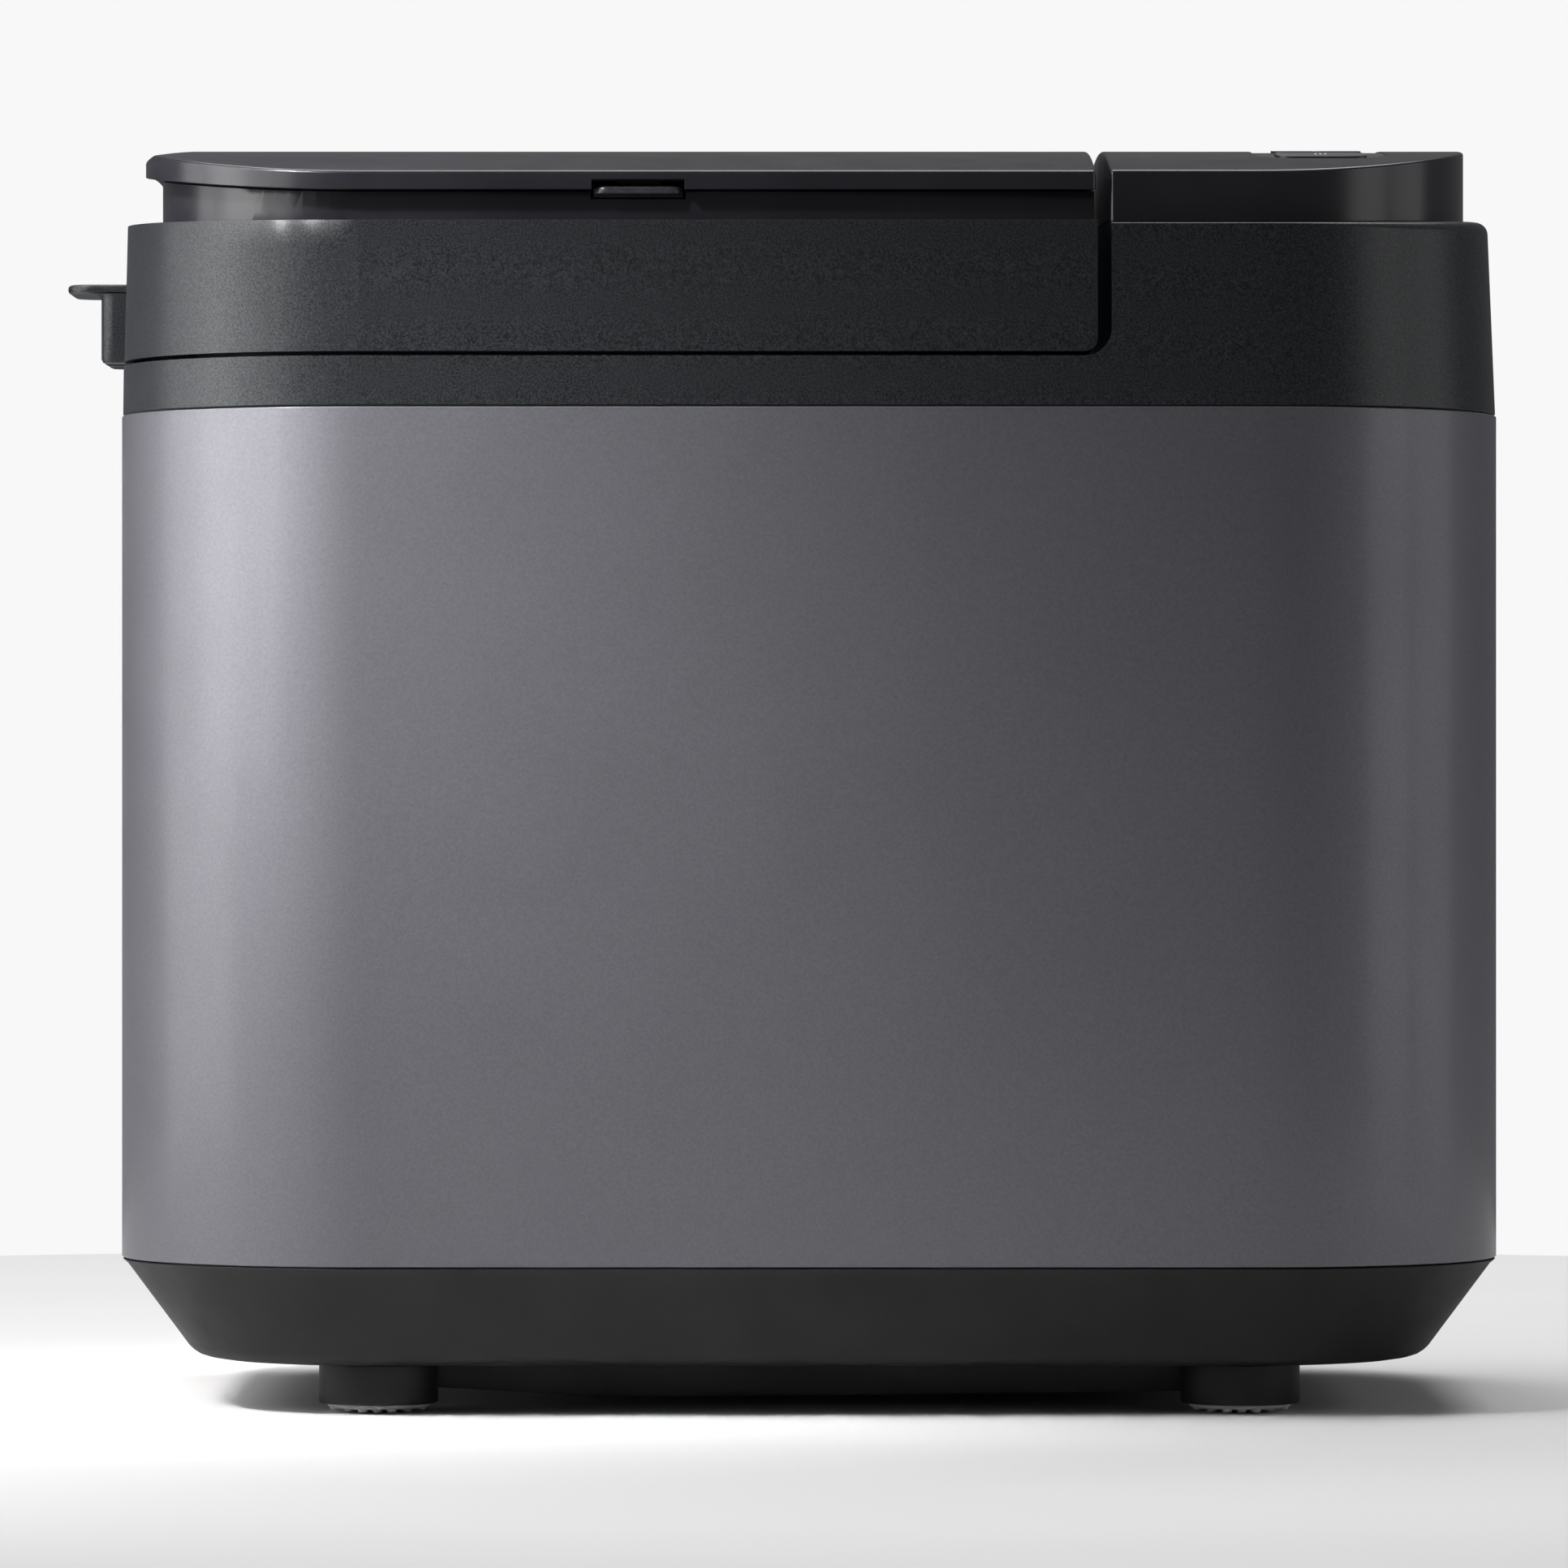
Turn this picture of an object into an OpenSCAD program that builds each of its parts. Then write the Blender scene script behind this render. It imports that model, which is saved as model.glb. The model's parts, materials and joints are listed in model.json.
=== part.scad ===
// Bread machine with a top lid, an ingredient dispenser in the lid and a control panel at the front.
// +Z is up, +X is the control-panel end, and the origin is on the ground under the middle.

/* [Body] */
// Length of the body from back to front
body_l = 389; // [386:1:392]
// Width of the body
body_w = 252; // [250:1:254]
// Radius of the upright corners
corner_r = 70; // [66:1:74]
// How far the rear tab stands out behind the body
tab_reach = 19; // [17:1:21]
// Thickness of the sheet-steel wrap
sheet = 0.8; // [0.6:0.1:1.2]
// Thickness of the moulded walls
wall = 2.5; // [2.2:0.1:2.8]
// Draft of the moulded top pieces, from their lower to their upper edge
draft = 1.4; // [1:0.1:1.6]

/* [Heights] */
// Height of the whole machine
height = 358; // [357.5:0.5:360]
// Height of the lower edge of the wrap
wrap_low = 42.7; // [42.2:0.1:42.8]
// Height of the upper edge of the wrap
wrap_high = 280.1; // [280:0.1:280.4]
// Height of the base above the ground
floor_z = 13.5; // [13.3:0.1:13.7]
// Height of the deck that the lid closes on, above the wrap
deck_rise = 14.1; // [13.8:0.1:14.1]
// Gap between the deck and the closed lid
lid_gap = 1.2; // [1:0.1:1.4]

/* [Base and feet] */
// How far the base draws in on each side
base_inset = 19.5; // [18:0.5:21]
// Distance between the front and rear feet
foot_pitch = 241.8; // [240:0.2:244]
// Distance between the left and right feet
foot_track = 160; // [156:1:162]
// Diameter of a foot post
foot_d = 33.5; // [32:0.5:34]
// Diameter of a rubber pad
pad_d = 28.7; // [27:0.1:29]

/* [Lid and dispenser] */
// Radius of the crown across the dispenser lid and the control panel
crown_r = 555; // [540:5:580]
// Front end of the lid
lid_front = 88.9; // [88:0.1:89.5]
// Start of the control panel
panel_rear = 92.8; // [92.6:0.1:93.5]
// Length of the nut tray
tray_l = 92; // [88:1:92]
// Width of the nut tray
tray_w = 116; // [110:1:118]
// Diameter of the yeast cup
cup_d = 40; // [36:1:42]
// Height of the rim of the dispenser lid
rim_h = 5.3; // [5:0.1:5.5]

/* [Oven and pan] */
// Length of the oven chamber
oven_l = 215; // [213:1:217]
// Width of the oven chamber
oven_w = 180; // [178:1:182]
// Length of the bread pan at its rim
pan_l = 172; // [168:1:174]
// Width of the bread pan at its rim
pan_w = 135; // [130:1:137]
// Height of the bread pan
pan_h = 133; // [128:1:134]
// Diameter of the wire of the pan handle
wire_d = 5; // [4:0.5:5]
// Diameter of the heater tube
heater_d = 6.5; // [6:0.5:7]

/* [Drive] */
// Diameter of the shafts
shaft_d = 8; // [7:0.5:9]
// Outside diameter of the large pulley
pulley_d = 100; // [96:1:102]
// Outside diameter of the small pulley
pinion_d = 19; // [18:0.5:20]
// Radial play of a running fit
play = 0.05; // [0.03:0.01:0.08]

/* [Controls] */
// Travel of a button
button_travel = 0.8; // [0.5:0.1:1]
// Travel of the catch of the dispenser lid
catch_travel = 2.5; // [2:0.1:3]

/* [Hidden] */
$fn = 96;

// Gap between two bodies that move past each other, and a reach that passes right through a piece
gap = 0.35;
far = 600;

// Places along the machine
body_x = tab_reach / 2;
rear_x = body_x - body_l / 2;
front_x = body_x + body_l / 2;
oven_x = -45;
motor_x = 115;
tray_x = 5;
cup_x = -95;

// Levels, from the ground up
base_break_z = floor_z + 3.1;
chassis_z = wrap_low + 0.8;
chassis_t = 1.5;
chassis_top = chassis_z + chassis_t;
oven_z = chassis_top + 33;
deck_z = wrap_high + deck_rise;
lid_z = deck_z + lid_gap;
shelf_top = height - 23.6;
frame_top = height - 21.7;
crown_axis = height - crown_r;
shelf_r = 2800;
frame_r = 1500;
frame_h = 56;
liner_z = lid_z + 1.4;
liner_t = 0.8;
plug_z = lid_z - 8.4;

// The lid's plug that reaches down into the oven
plug_l = oven_l - 11;
plug_w = oven_w - 10;

// The bearing surfaces of the belt drive
pulley_z = 22;
pulley_h = 12;
belt_w = 8;
belt_t = 1.5;
groove = 1.5;
belt_z = pulley_z + (pulley_h - belt_w) / 2;
shaft_r = shaft_d / 2;

// The pan stands on its base ring, and the ring stands in the seat
pan_z = oven_z + 34;
pan_rim_z = pan_z + pan_h;
handle_z = pan_rim_z - 5;
handle_reach = pan_w / 2 + 8.5;
seat_r = 46;
seat_bore = 39;
skirt_r = 35;

// Hinge lines
hinge_x = rear_x - 3;
hinge_z = lid_z + 7.6;
hinge_pin_r = 2;
hinge_pin_l = 14;
bracket_y = 8.5;
bracket_w = 8;
flap_x = tray_x - 22;
flap_z = plug_z + 3;
cap_hinge_y = 113.5;
cap_hinge_z = height - 15;
cap_pin_r = 1.2;
cap_lug_w = 8;

// The dispenser lid and the housing below it
cap_rear = rear_x + 6.6;
cap_half_w = 116;
cap_r = 62;
housing_rear = cap_rear + 4.8;
housing_half_w = 111;
step_in = 3.5;
bevel_drop = 5;
bevel_angle = 20;

// The rim's lower edge is flatter than the crown, and meets it rim_h apart at the sides
rim_crown_r = 707;
rim_crest = rim_h + crown_r - sqrt(pow(crown_r, 2) - pow(cap_half_w, 2))
  - rim_crown_r + sqrt(pow(rim_crown_r, 2) - pow(cap_half_w, 2));
tray_top = height - 10;
catch_x = -38;
catch_w = 25;
catch_z = height - 18;

// The control panel
panel_front = front_x - 9.1;
panel_half_w = 115;
panel_r = 62;
plate_t = 3;
strip_x = 153.5;
strip_l = 37;
strip_w = 170;
strip_t = 1.4;
window_l = 27;
window_w = 58;
board_z = height - 20;
board_t = 1.6;
switch_h = 1.6;

// ---------------------------------------------------------------------------------------------
// Shared shapes
// ---------------------------------------------------------------------------------------------

// Rectangle with round corners, centred
module outline(l, w, r) {
  square([l - 2 * r, w], center = true);
  square([l, w - 2 * r], center = true);
  for (x = [-1, 1], y = [-1, 1])
    translate([x * (l / 2 - r), y * (w / 2 - r)]) circle(r);
}

module slab(l, w, r, h) linear_extrude(h) outline(l, w, r);

module sleeve(l, w, r, h, t) linear_extrude(h) difference() {
  outline(l, w, r);
  outline(l - 2 * t, w - 2 * t, r - t);
}

// Block with round corners whose sides lean in by inset over its height
module tapered(l, w, r, h, inset) {
  cx = l / 2 - r;
  cy = w / 2 - r;
  for (x = [-cx, cx], y = [-cy, cy])
    translate([x, y, 0]) cylinder(h = h, r1 = r, r2 = r - inset);
  rotate([90, 0, 90]) translate([0, 0, -cx]) linear_extrude(2 * cx)
    polygon([[-w / 2, 0], [w / 2, 0], [w / 2 - inset, h], [-w / 2 + inset, h]]);
  rotate([90, 0, 0]) translate([0, 0, -cy]) linear_extrude(2 * cy)
    polygon([[-l / 2, 0], [l / 2, 0], [l / 2 - inset, h], [-l / 2 + inset, h]]);
}

// The same block, widest at the top
module funnel(l, w, r, h, inset)
  translate([0, 0, h]) mirror([0, 0, 1]) tapered(l, w, r, h, inset);

// Everything below a surface that is crowned across the machine
module under_crown(radius, crest)
  translate([0, 0, crest - radius]) rotate([0, 90, 0])
    cylinder(r = radius, h = far, center = true, $fn = 720);

// Everything at least depth below the crowned top of the dispenser lid and the panel
module crowned(depth)
  translate([0, 0, crown_axis]) rotate([0, 90, 0])
    cylinder(r = crown_r - depth, h = far, center = true, $fn = 360);

module ring(outer, inner, h) difference() {
  cylinder(r = outer, h = h);
  translate([0, 0, -1]) cylinder(r = inner, h = h + 2);
}

module rod_x(r, l) rotate([0, 90, 0]) cylinder(r = r, h = l, center = true);
module rod_y(r, l) rotate([90, 0, 0]) cylinder(r = r, h = l, center = true);

// A wedge seen from the side, drawn in X and Z and as wide as the machine
module side_cut() rotate([90, 0, 0]) translate([0, 0, -far / 2]) linear_extrude(far) children();

module at_feet() for (x = [-1, 1], y = [-1, 1])
  translate([body_x + x * foot_pitch / 2, y * foot_track / 2, 0]) children();

// ---------------------------------------------------------------------------------------------
// Base
// ---------------------------------------------------------------------------------------------

cover_l = 240;
cover_w = 122;
cover_flange = 11;
cover_t = 2;
boss_r = 4;
screw_r = 1.5;
screw_head_r = 3;
post_z = 2.6;
pad_socket = 2.6;

module at_cover_corners() for (x = [-1, 1], y = [-1, 1])
  translate([body_x + x * (cover_l - cover_flange) / 2, y * (cover_w - cover_flange) / 2, 0]) children();

module base_form(t) {
  side_h = wrap_low - base_break_z;
  low_l = body_l - 0.6 - 2 * base_inset;
  low_w = body_w - 0.6 - 2 * base_inset;
  low_r = corner_r - 0.3 - base_inset;
  translate([body_x, 0, base_break_z])
    funnel(body_l - 0.6 - 2 * t, body_w - 0.6 - 2 * t, corner_r - 0.3 - t, side_h, base_inset);
  translate([body_x, 0, floor_z + t])
    funnel(low_l - 2 * t, low_w - 2 * t, low_r - t, base_break_z - floor_z - t, 5);
}

module base_shell() color("#222224") {
  difference() {
    base_form(0);
    translate([body_x, 0, base_break_z])
      funnel(body_l - 5.6, body_w - 5.6, corner_r - 2.8, wrap_low - base_break_z + 0.01, base_inset);
    translate([body_x, 0, floor_z - 1])
      slab(cover_l - 2 * cover_flange, cover_w - 2 * cover_flange, 8, 20);
    at_cover_corners() cylinder(r = screw_r, h = 40);
  }
  translate([body_x, 0, wrap_low]) sleeve(body_l - 2.2, body_w - 2.2, corner_r - 1.1, chassis_z - wrap_low, wall);
  at_cover_corners() translate([0, 0, base_break_z]) ring(boss_r, screw_r, 5);
  at_feet() translate([0, 0, post_z]) difference() {
    cylinder(r = foot_d / 2, h = floor_z - post_z);
    translate([0, 0, -1]) cylinder(r = pad_d / 2, h = pad_socket + 1);
  }
}

// Shallow pan under the base, a little deeper towards the rear
module cover_profile(t) {
  half = cover_l / 2 - t;
  polygon([
    [-half, floor_z + (t > 0 ? 1 : 0)], [-half, 6.4 + t], [-half / 2, 3 + t],
    [0, 3.3 + t], [half, 4.6 + t], [half, floor_z + (t > 0 ? 1 : 0)]
  ]);
}

module bottom_cover() color("#0a0a0c") difference() {
  union() {
    difference() {
      translate([body_x, cover_w / 2, 0]) rotate([90, 0, 0]) linear_extrude(cover_w) cover_profile(0);
      translate([body_x, cover_w / 2 - cover_t, 0]) rotate([90, 0, 0])
        linear_extrude(cover_w - 2 * cover_t) cover_profile(cover_t);
    }
    at_cover_corners() translate([0, 0, 8]) cylinder(r = boss_r, h = floor_z - 8);
  }
  at_cover_corners() cylinder(r = screw_r, h = 30);
  at_cover_corners() translate([0, 0, -1]) cylinder(r = screw_head_r, h = 11);
  for (i = [-4:4]) translate([body_x + 62 + i * 7, 0, 0]) cube([3, 70, 30], center = true);
}

module base_screws() color("silver") at_cover_corners() translate([0, 0, 10]) {
  cylinder(r = screw_r, h = 10);
  translate([0, 0, -2]) difference() {
    cylinder(r = screw_head_r, h = 2);
    cube([4, 0.8, 1.6], center = true);
    cube([0.8, 4, 1.6], center = true);
  }
}

module foot_pads() color("#9a9a9e") at_feet() {
  translate([0, 0, 1.4]) cylinder(r = pad_d / 2, h = post_z + pad_socket - 1.4);
  cylinder(r = pad_d / 2 - 2.2, h = 1.4);
}

inlet_y = 40;
inlet_z = 62;
inlet_r = 7;
inlet_flange_r = 10;
inlet_bore_r = 3.5;

// Bush that the mains lead passes through, flush with the back of the wrap
module cord_inlet() color("#1a1a1c") translate([rear_x, inlet_y, inlet_z]) rotate([0, 90, 0]) difference() {
  union() {
    cylinder(r = inlet_r, h = 12);
    translate([0, 0, sheet]) cylinder(r = inlet_flange_r, h = 2.4);
  }
  translate([0, 0, -1]) cylinder(r = inlet_bore_r, h = 14);
}

// ---------------------------------------------------------------------------------------------
// Body
// ---------------------------------------------------------------------------------------------

module outer_wrap() color("#5c5c62") difference() {
  translate([body_x, 0, wrap_low]) sleeve(body_l, body_w, corner_r, wrap_high - wrap_low, sheet);
  translate([rear_x, inlet_y, inlet_z]) rod_x(inlet_r, 10);
}

module frame_form(t)
  translate([body_x, 0, wrap_high])
    tapered(body_l - 0.6 - 2 * t, body_w - 0.6 - 2 * t, corner_r - 0.3 - t, frame_h, draft);

// The room above the deck that the lid closes into, with a round inner corner at the riser
module lid_room() {
  r = 7.5;
  side_cut() {
    translate([-far / 2, deck_z + r]) square([far / 2 + panel_rear, 100]);
    translate([-far / 2, deck_z]) square([far / 2 + panel_rear - r, 100]);
    translate([panel_rear - r, deck_z + r]) circle(r);
  }
}

deck_hole_l = 84;
deck_hole_w = 196;
deck_hole_x = 145;

module top_frame() color("#24282a") {
  difference() {
    intersection() {
      frame_form(0);
      under_crown(frame_r, frame_top);
    }
    intersection() {
      translate([0, 0, -0.01]) frame_form(wall);
      under_crown(frame_r - wall, frame_top - wall);
      side_cut() {
        translate([panel_rear + wall, 200]) square([200, 200]);
        translate([-far / 2, 200]) square([far, deck_z - wall - 200]);
      }
    }
    lid_room();
    translate([oven_x, 0, wrap_high]) slab(oven_l + 6, oven_w + 6, 33, 20);
    translate([deck_hole_x, 0, wrap_high]) slab(deck_hole_l, deck_hole_w, 20, 80);
  }
  translate([body_x, 0, wrap_high - 4]) sleeve(body_l - 2.2, body_w - 2.2, corner_r - 1.1, 4, 1.8);
}

module chassis_plate() color("#8c8f92") {
  tab_h = 30;
  difference() {
    translate([body_x, 0, chassis_z]) slab(body_l - 4, body_w - 4, corner_r - 2, chassis_t);
    translate([oven_x, 0, chassis_z - 1]) cylinder(r = 12, h = 4);
    translate([motor_x, 0, chassis_z - 1]) cylinder(r = 12, h = 4);
  }
  for (y = [-71, 71]) translate([170.4, y - 8, chassis_top]) cube([1.6, 16, tab_h]);
}

// ---------------------------------------------------------------------------------------------
// Oven
// ---------------------------------------------------------------------------------------------

oven_r = 30;
oven_t = 0.8;
shield_gap = 9;
shield_t = 0.6;
heater_z = oven_z + 10;
heater_half_l = 97;
heater_half_w = 78;
heater_r = 24;
lead_y = 18;
bush_r = 6;
sensor_y = 50;
sensor_z = 130;

module oven_chamber() color("#a9acae") {
  rim_z = deck_z - wall - oven_t;
  difference() {
    union() {
      translate([oven_x, 0, oven_z - oven_t])
        slab(oven_l + 2 * oven_t, oven_w + 2 * oven_t, oven_r + oven_t, rim_z + oven_t - oven_z + oven_t);
      translate([oven_x, 0, rim_z]) slab(oven_l + 14, oven_w + 14, oven_r + 7, oven_t);
    }
    translate([oven_x, 0, oven_z]) slab(oven_l, oven_w, oven_r, 300);
    translate([oven_x, 0, oven_z - 5]) cylinder(r = 16, h = 10);
    for (y = [-lead_y, lead_y]) translate([oven_x + oven_l / 2, y, heater_z]) rod_x(bush_r, 20);
    translate([oven_x - oven_l / 2, sensor_y, sensor_z]) rod_x(3, 20);
  }
}

module heat_shield() color("#b9bbbd") {
  shield_l = oven_l + 2 * shield_gap;
  shield_w = oven_w + 2 * shield_gap;
  difference() {
    translate([oven_x, 0, chassis_top]) sleeve(shield_l, shield_w, oven_r + shield_gap, 240, shield_t);
    for (y = [-lead_y, lead_y]) translate([oven_x + shield_l / 2, y, heater_z]) rod_x(bush_r + 1, 8);
    translate([oven_x - shield_l / 2, sensor_y, sensor_z]) rod_x(5, 8);
  }
}

// Tube bent round the pan's foot, open at the front, where its two ends leave through bushes
module heating_element() color("#3c3c3e") {
  r = heater_d / 2;
  straight_l = 2 * (heater_half_l - heater_r);
  straight_w = 2 * (heater_half_w - heater_r);
  lead_l = 20;
  front_w = heater_half_w - heater_r - lead_y - 6;
  translate([oven_x, 0, heater_z]) {
    for (y = [-1, 1]) translate([0, y * heater_half_w, 0]) rod_x(r, straight_l);
    translate([-heater_half_l, 0, 0]) rod_y(r, straight_w);
    for (y = [-1, 1]) {
      translate([heater_half_l, y * (lead_y + 6 + front_w / 2), 0]) rod_y(r, front_w);
      translate([heater_half_l + 6 + lead_l / 2, y * lead_y, 0]) rod_x(r, lead_l);
    }
    for (a = [0:90:270])
      translate([(a < 90 || a > 180 ? 1 : -1) * (heater_half_l - heater_r),
                 (a < 180 ? 1 : -1) * (heater_half_w - heater_r), 0])
        rotate(a) rotate_extrude(angle = 90) translate([heater_r, 0]) circle(r);
    translate([heater_half_l + 6, lead_y + 6, 0]) rotate(180) rotate_extrude(angle = 90)
      translate([6, 0]) circle(r);
    translate([heater_half_l + 6, -lead_y - 6, 0]) rotate(90) rotate_extrude(angle = 90)
      translate([6, 0]) circle(r);
    for (y = [-1, 1]) {
      translate([oven_l / 2 + 1, y * lead_y, 0]) rotate([0, 90, 0]) difference() {
        translate([0, 0, -4]) cylinder(r = bush_r, h = 12);
        translate([0, 0, -5]) cylinder(r = r, h = 14);
      }
      for (x = [-50, 50]) translate([x - 3, y * heater_half_w - 1, oven_z - heater_z]) cube([6, 2, 8]);
    }
  }
}

module temperature_sensor() color("#c8a24a") translate([oven_x - oven_l / 2, sensor_y, sensor_z]) {
  rod_x(3, 24);
  translate([-oven_t - 1.5, 0, 0]) rod_x(5, 3);
}

module pan_seat() color("#9da0a2") translate([oven_x, 0, oven_z]) {
  rib_in = skirt_r + gap;
  ring(seat_r, seat_bore, 16);
  ring(seat_bore + 1, 22, 3);
  for (a = [45:90:315]) rotate(a) translate([rib_in, -2, 0]) cube([seat_bore + 1 - rib_in, 4, 14]);
}

// ---------------------------------------------------------------------------------------------
// Drive
// ---------------------------------------------------------------------------------------------

coupler_z = oven_z + 2;
peg_at = 8;
peg_r = 2.5;

module bearing_housing() color("#8a8d90") translate([oven_x, 0, 0]) difference() {
  union() {
    translate([0, 0, 37]) cylinder(r = 12, h = oven_z - oven_t - 38);
    translate([0, 0, chassis_top]) cylinder(r = 26, h = 3);
    for (a = [0:90:270]) rotate(a) translate([10, -1.5, chassis_top]) cube([14, 3, 14]);
  }
  translate([0, 0, 30]) cylinder(r = shaft_r + play, h = 60);
}

module drive_shaft() color("silver") translate([oven_x, 0, pulley_z - 2])
  cylinder(r = shaft_r, h = coupler_z + 7 - pulley_z + 2);

module drive_coupler() color("#707376") translate([oven_x, 0, coupler_z]) {
  ring(11, shaft_r, 7);
  for (x = [-peg_at, peg_at]) translate([x, 0, 7]) cylinder(r = peg_r, h = 6);
}

// Pulley with a rim, a web and a hub, grooved for a flat belt
module pulley(r, hub_r, rim) rotate_extrude() {
  translate([shaft_r, 0]) square([hub_r - shaft_r, pulley_h]);
  translate([hub_r - 1, pulley_h / 2 - 1.5]) square([r - groove - hub_r - rim + 2, 3]);
  difference() {
    translate([r - groove - rim, 0]) square([rim + groove, pulley_h]);
    translate([r - groove, (pulley_h - belt_w) / 2 - gap]) square([groove + 1, belt_w + 2 * gap]);
  }
}

module large_pulley() color("#3a3a3d") translate([oven_x, 0, pulley_z]) pulley(pulley_d / 2, 10, 4);
module small_pulley() color("#b08d4a") translate([motor_x, 0, pulley_z]) pulley(pinion_d / 2, 7, 1.5);

// Flat belt round the two pulleys: an arc at each end and the straight runs that meet them
module drive_belt() color("#18181a") translate([oven_x, 0, belt_z]) {
  span = motor_x - oven_x;
  big = pulley_d / 2 - groove + gap;
  small = pinion_d / 2 - groove + gap;
  lean = acos((big - small) / span);
  run = span * sin(lean);
  lap = 0.5;
  rotate(lean) rotate_extrude(angle = 360 - 2 * lean) translate([big, 0]) square([belt_t, belt_w]);
  translate([span, 0, 0]) rotate(-lean) rotate_extrude(angle = 2 * lean)
    translate([small, 0]) square([belt_t, belt_w]);
  for (side = [0, 1]) mirror([0, side, 0]) rotate(lean)
    translate([big, -run - lap, 0]) cube([belt_t, run + 2 * lap, belt_w]);
}

stack_z = chassis_top + 11;
stack_h = 30;
rotor_r = 20;

module motor() color("#6f7275") translate([motor_x, 0, 0]) difference() {
  union() {
    translate([0, 0, chassis_top]) slab(70, 70, 10, 3);
    translate([0, 0, chassis_top + 2]) cylinder(r = 30, h = 50);
    translate([0, 0, stack_z]) slab(70, 70, 10, stack_h);
    for (x = [-29, 29], y = [-29, 29]) translate([x, y, chassis_top + 2]) cylinder(r = 3, h = stack_h + 13);
  }
  translate([0, 0, chassis_top - 1]) cylinder(r = shaft_r + play, h = 60);
  translate([0, 0, stack_z + 2]) cylinder(r = rotor_r + gap, h = stack_h - 4);
}

module motor_shaft() color("silver") translate([motor_x, 0, pulley_z - 2]) {
  cylinder(r = shaft_r, h = 88);
  translate([0, 0, stack_z + 2 + gap - pulley_z + 2]) cylinder(r = rotor_r, h = stack_h - 4 - 2 * gap);
}

module motor_fan() color("#2c2c30") translate([motor_x, 0, chassis_top + 54]) {
  ring(9, shaft_r, 9);
  for (i = [0:6]) rotate(i * 360 / 7) translate([8, -1, 0]) cube([20, 2, 8]);
}

// Mains board with its transformer, capacitor, relay, heat sink and connectors
module power_board() color("#2f6b3f") {
  board_x = 172;
  translate([board_x, -75, 50]) cube([board_t, 150, 140]);
  translate([board_x - 26, -62, 98]) cube([26, 34, 28]);
  translate([board_x - 15, 10, 100]) cylinder(r = 13, h = 42);
  translate([board_x - 3, 8, 102]) cube([3, 4, 38]);
  translate([board_x - 18, 40, 66]) cube([18, 20, 24]);
  translate([board_x - 22, -60, 134]) cube([22, 3, 50]);
  translate([board_x - 3, -60, 134]) cube([3, 30, 50]);
  translate([board_x - 10, -10, 152]) cube([10, 36, 8]);
  translate([board_x - 8, 44, 120]) cube([8, 10, 40]);
}

// ---------------------------------------------------------------------------------------------
// Pan
// ---------------------------------------------------------------------------------------------

pan_t = 1.6;
pan_r = 25;
pan_draft = 4;
pivot_r = 2;
arm_x = pan_l / 2 + 6;

module bread_pan() color("#4a4a4e") translate([oven_x, 0, 0]) {
  difference() {
    translate([0, 0, pan_z]) funnel(pan_l, pan_w, pan_r, pan_h, pan_draft);
    translate([0, 0, pan_z + pan_t])
      funnel(pan_l - 2 * pan_t, pan_w - 2 * pan_t, pan_r - pan_t, pan_h - pan_t + 0.01, pan_draft);
    translate([0, 0, pan_z - 1]) cylinder(r = 10, h = 6);
  }
  translate([0, 0, pan_rim_z - 2]) sleeve(pan_l + 6, pan_w + 6, pan_r + 3, 2, 3.2);
  for (x = [-1, 1]) translate([0, 0, handle_z]) {
    translate([x * (pan_l / 2 + 0.4), 0, 0]) rod_x(4, 5);
    translate([x * arm_x, 0, 0]) rod_x(pivot_r, 8);
    translate([x * (arm_x + 3.6), 0, 0]) rod_x(3.4, 1.6);
  }
}

module pan_base() color("#8f9295") translate([oven_x, 0, oven_z + 3 + gap]) difference() {
  h = pan_z - oven_z - 3 - gap;
  union() {
    cylinder(r = skirt_r, h = h);
    translate([0, 0, h - 8]) cylinder(r = skirt_r + 6, h = 8);
  }
  translate([0, 0, -1]) cylinder(r = skirt_r - 3, h = h - 5);
  translate([0, 0, -1]) cylinder(r = 10, h = h + 2);
}

module pan_bearing() color("#b5985a") translate([oven_x, 0, pan_z - 12])
  ring(10, shaft_r + play, 15);

// Wire bail: two arms and a crossbar outside the rim, on pivots at the ends of the pan
module pan_handle() color("silver") translate([oven_x, 0, handle_z]) {
  r = wire_d / 2;
  bend = 12;
  arm_l = handle_reach - bend;
  for (x = [-1, 1]) {
    translate([x * arm_x, -arm_l / 2 - 1.5, 0]) rod_y(r, arm_l - 3);
    translate([x * arm_x, 0, 0]) difference() {
      rod_x(5, wire_d);
      rod_x(pivot_r + play, 10);
    }
  }
  translate([0, -handle_reach, 0]) rod_x(r, 2 * (arm_x - bend));
  translate([arm_x - bend, -arm_l, 0]) rotate(270) rotate_extrude(angle = 90) translate([bend, 0]) circle(r);
  translate([bend - arm_x, -arm_l, 0]) rotate(180) rotate_extrude(angle = 90) translate([bend, 0]) circle(r);
}

blade_z = pan_z + pan_t + 2;

module kneading_blade() color("#3e3e42") translate([oven_x, 0, blade_z]) {
  difference() {
    union() {
      cylinder(r = 10, h = 22);
      intersection() {
        translate([0, -5, 0]) cube([44, 10, 32]);
        rotate([90, 0, 0]) translate([0, 0, -6]) linear_extrude(12)
          polygon([[0, 0], [44, 0], [44, 12], [30, 30], [10, 32], [0, 22]]);
      }
    }
    translate([0, 0, -1]) cylinder(r = shaft_r, h = 20);
  }
}

module pan_shaft() color("silver") translate([oven_x, 0, coupler_z + 7 + gap])
  cylinder(r = shaft_r, h = blade_z + 19 - coupler_z - 7 - gap);

module pan_coupler() color("#707376") translate([oven_x, 0, coupler_z + 7 + gap]) difference() {
  union() {
    translate([-2.5, -11, 0]) cube([5, 22, 5]);
    cylinder(r = 5.5, h = 11);
  }
  translate([0, 0, -1]) cylinder(r = shaft_r, h = 20);
}

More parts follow.
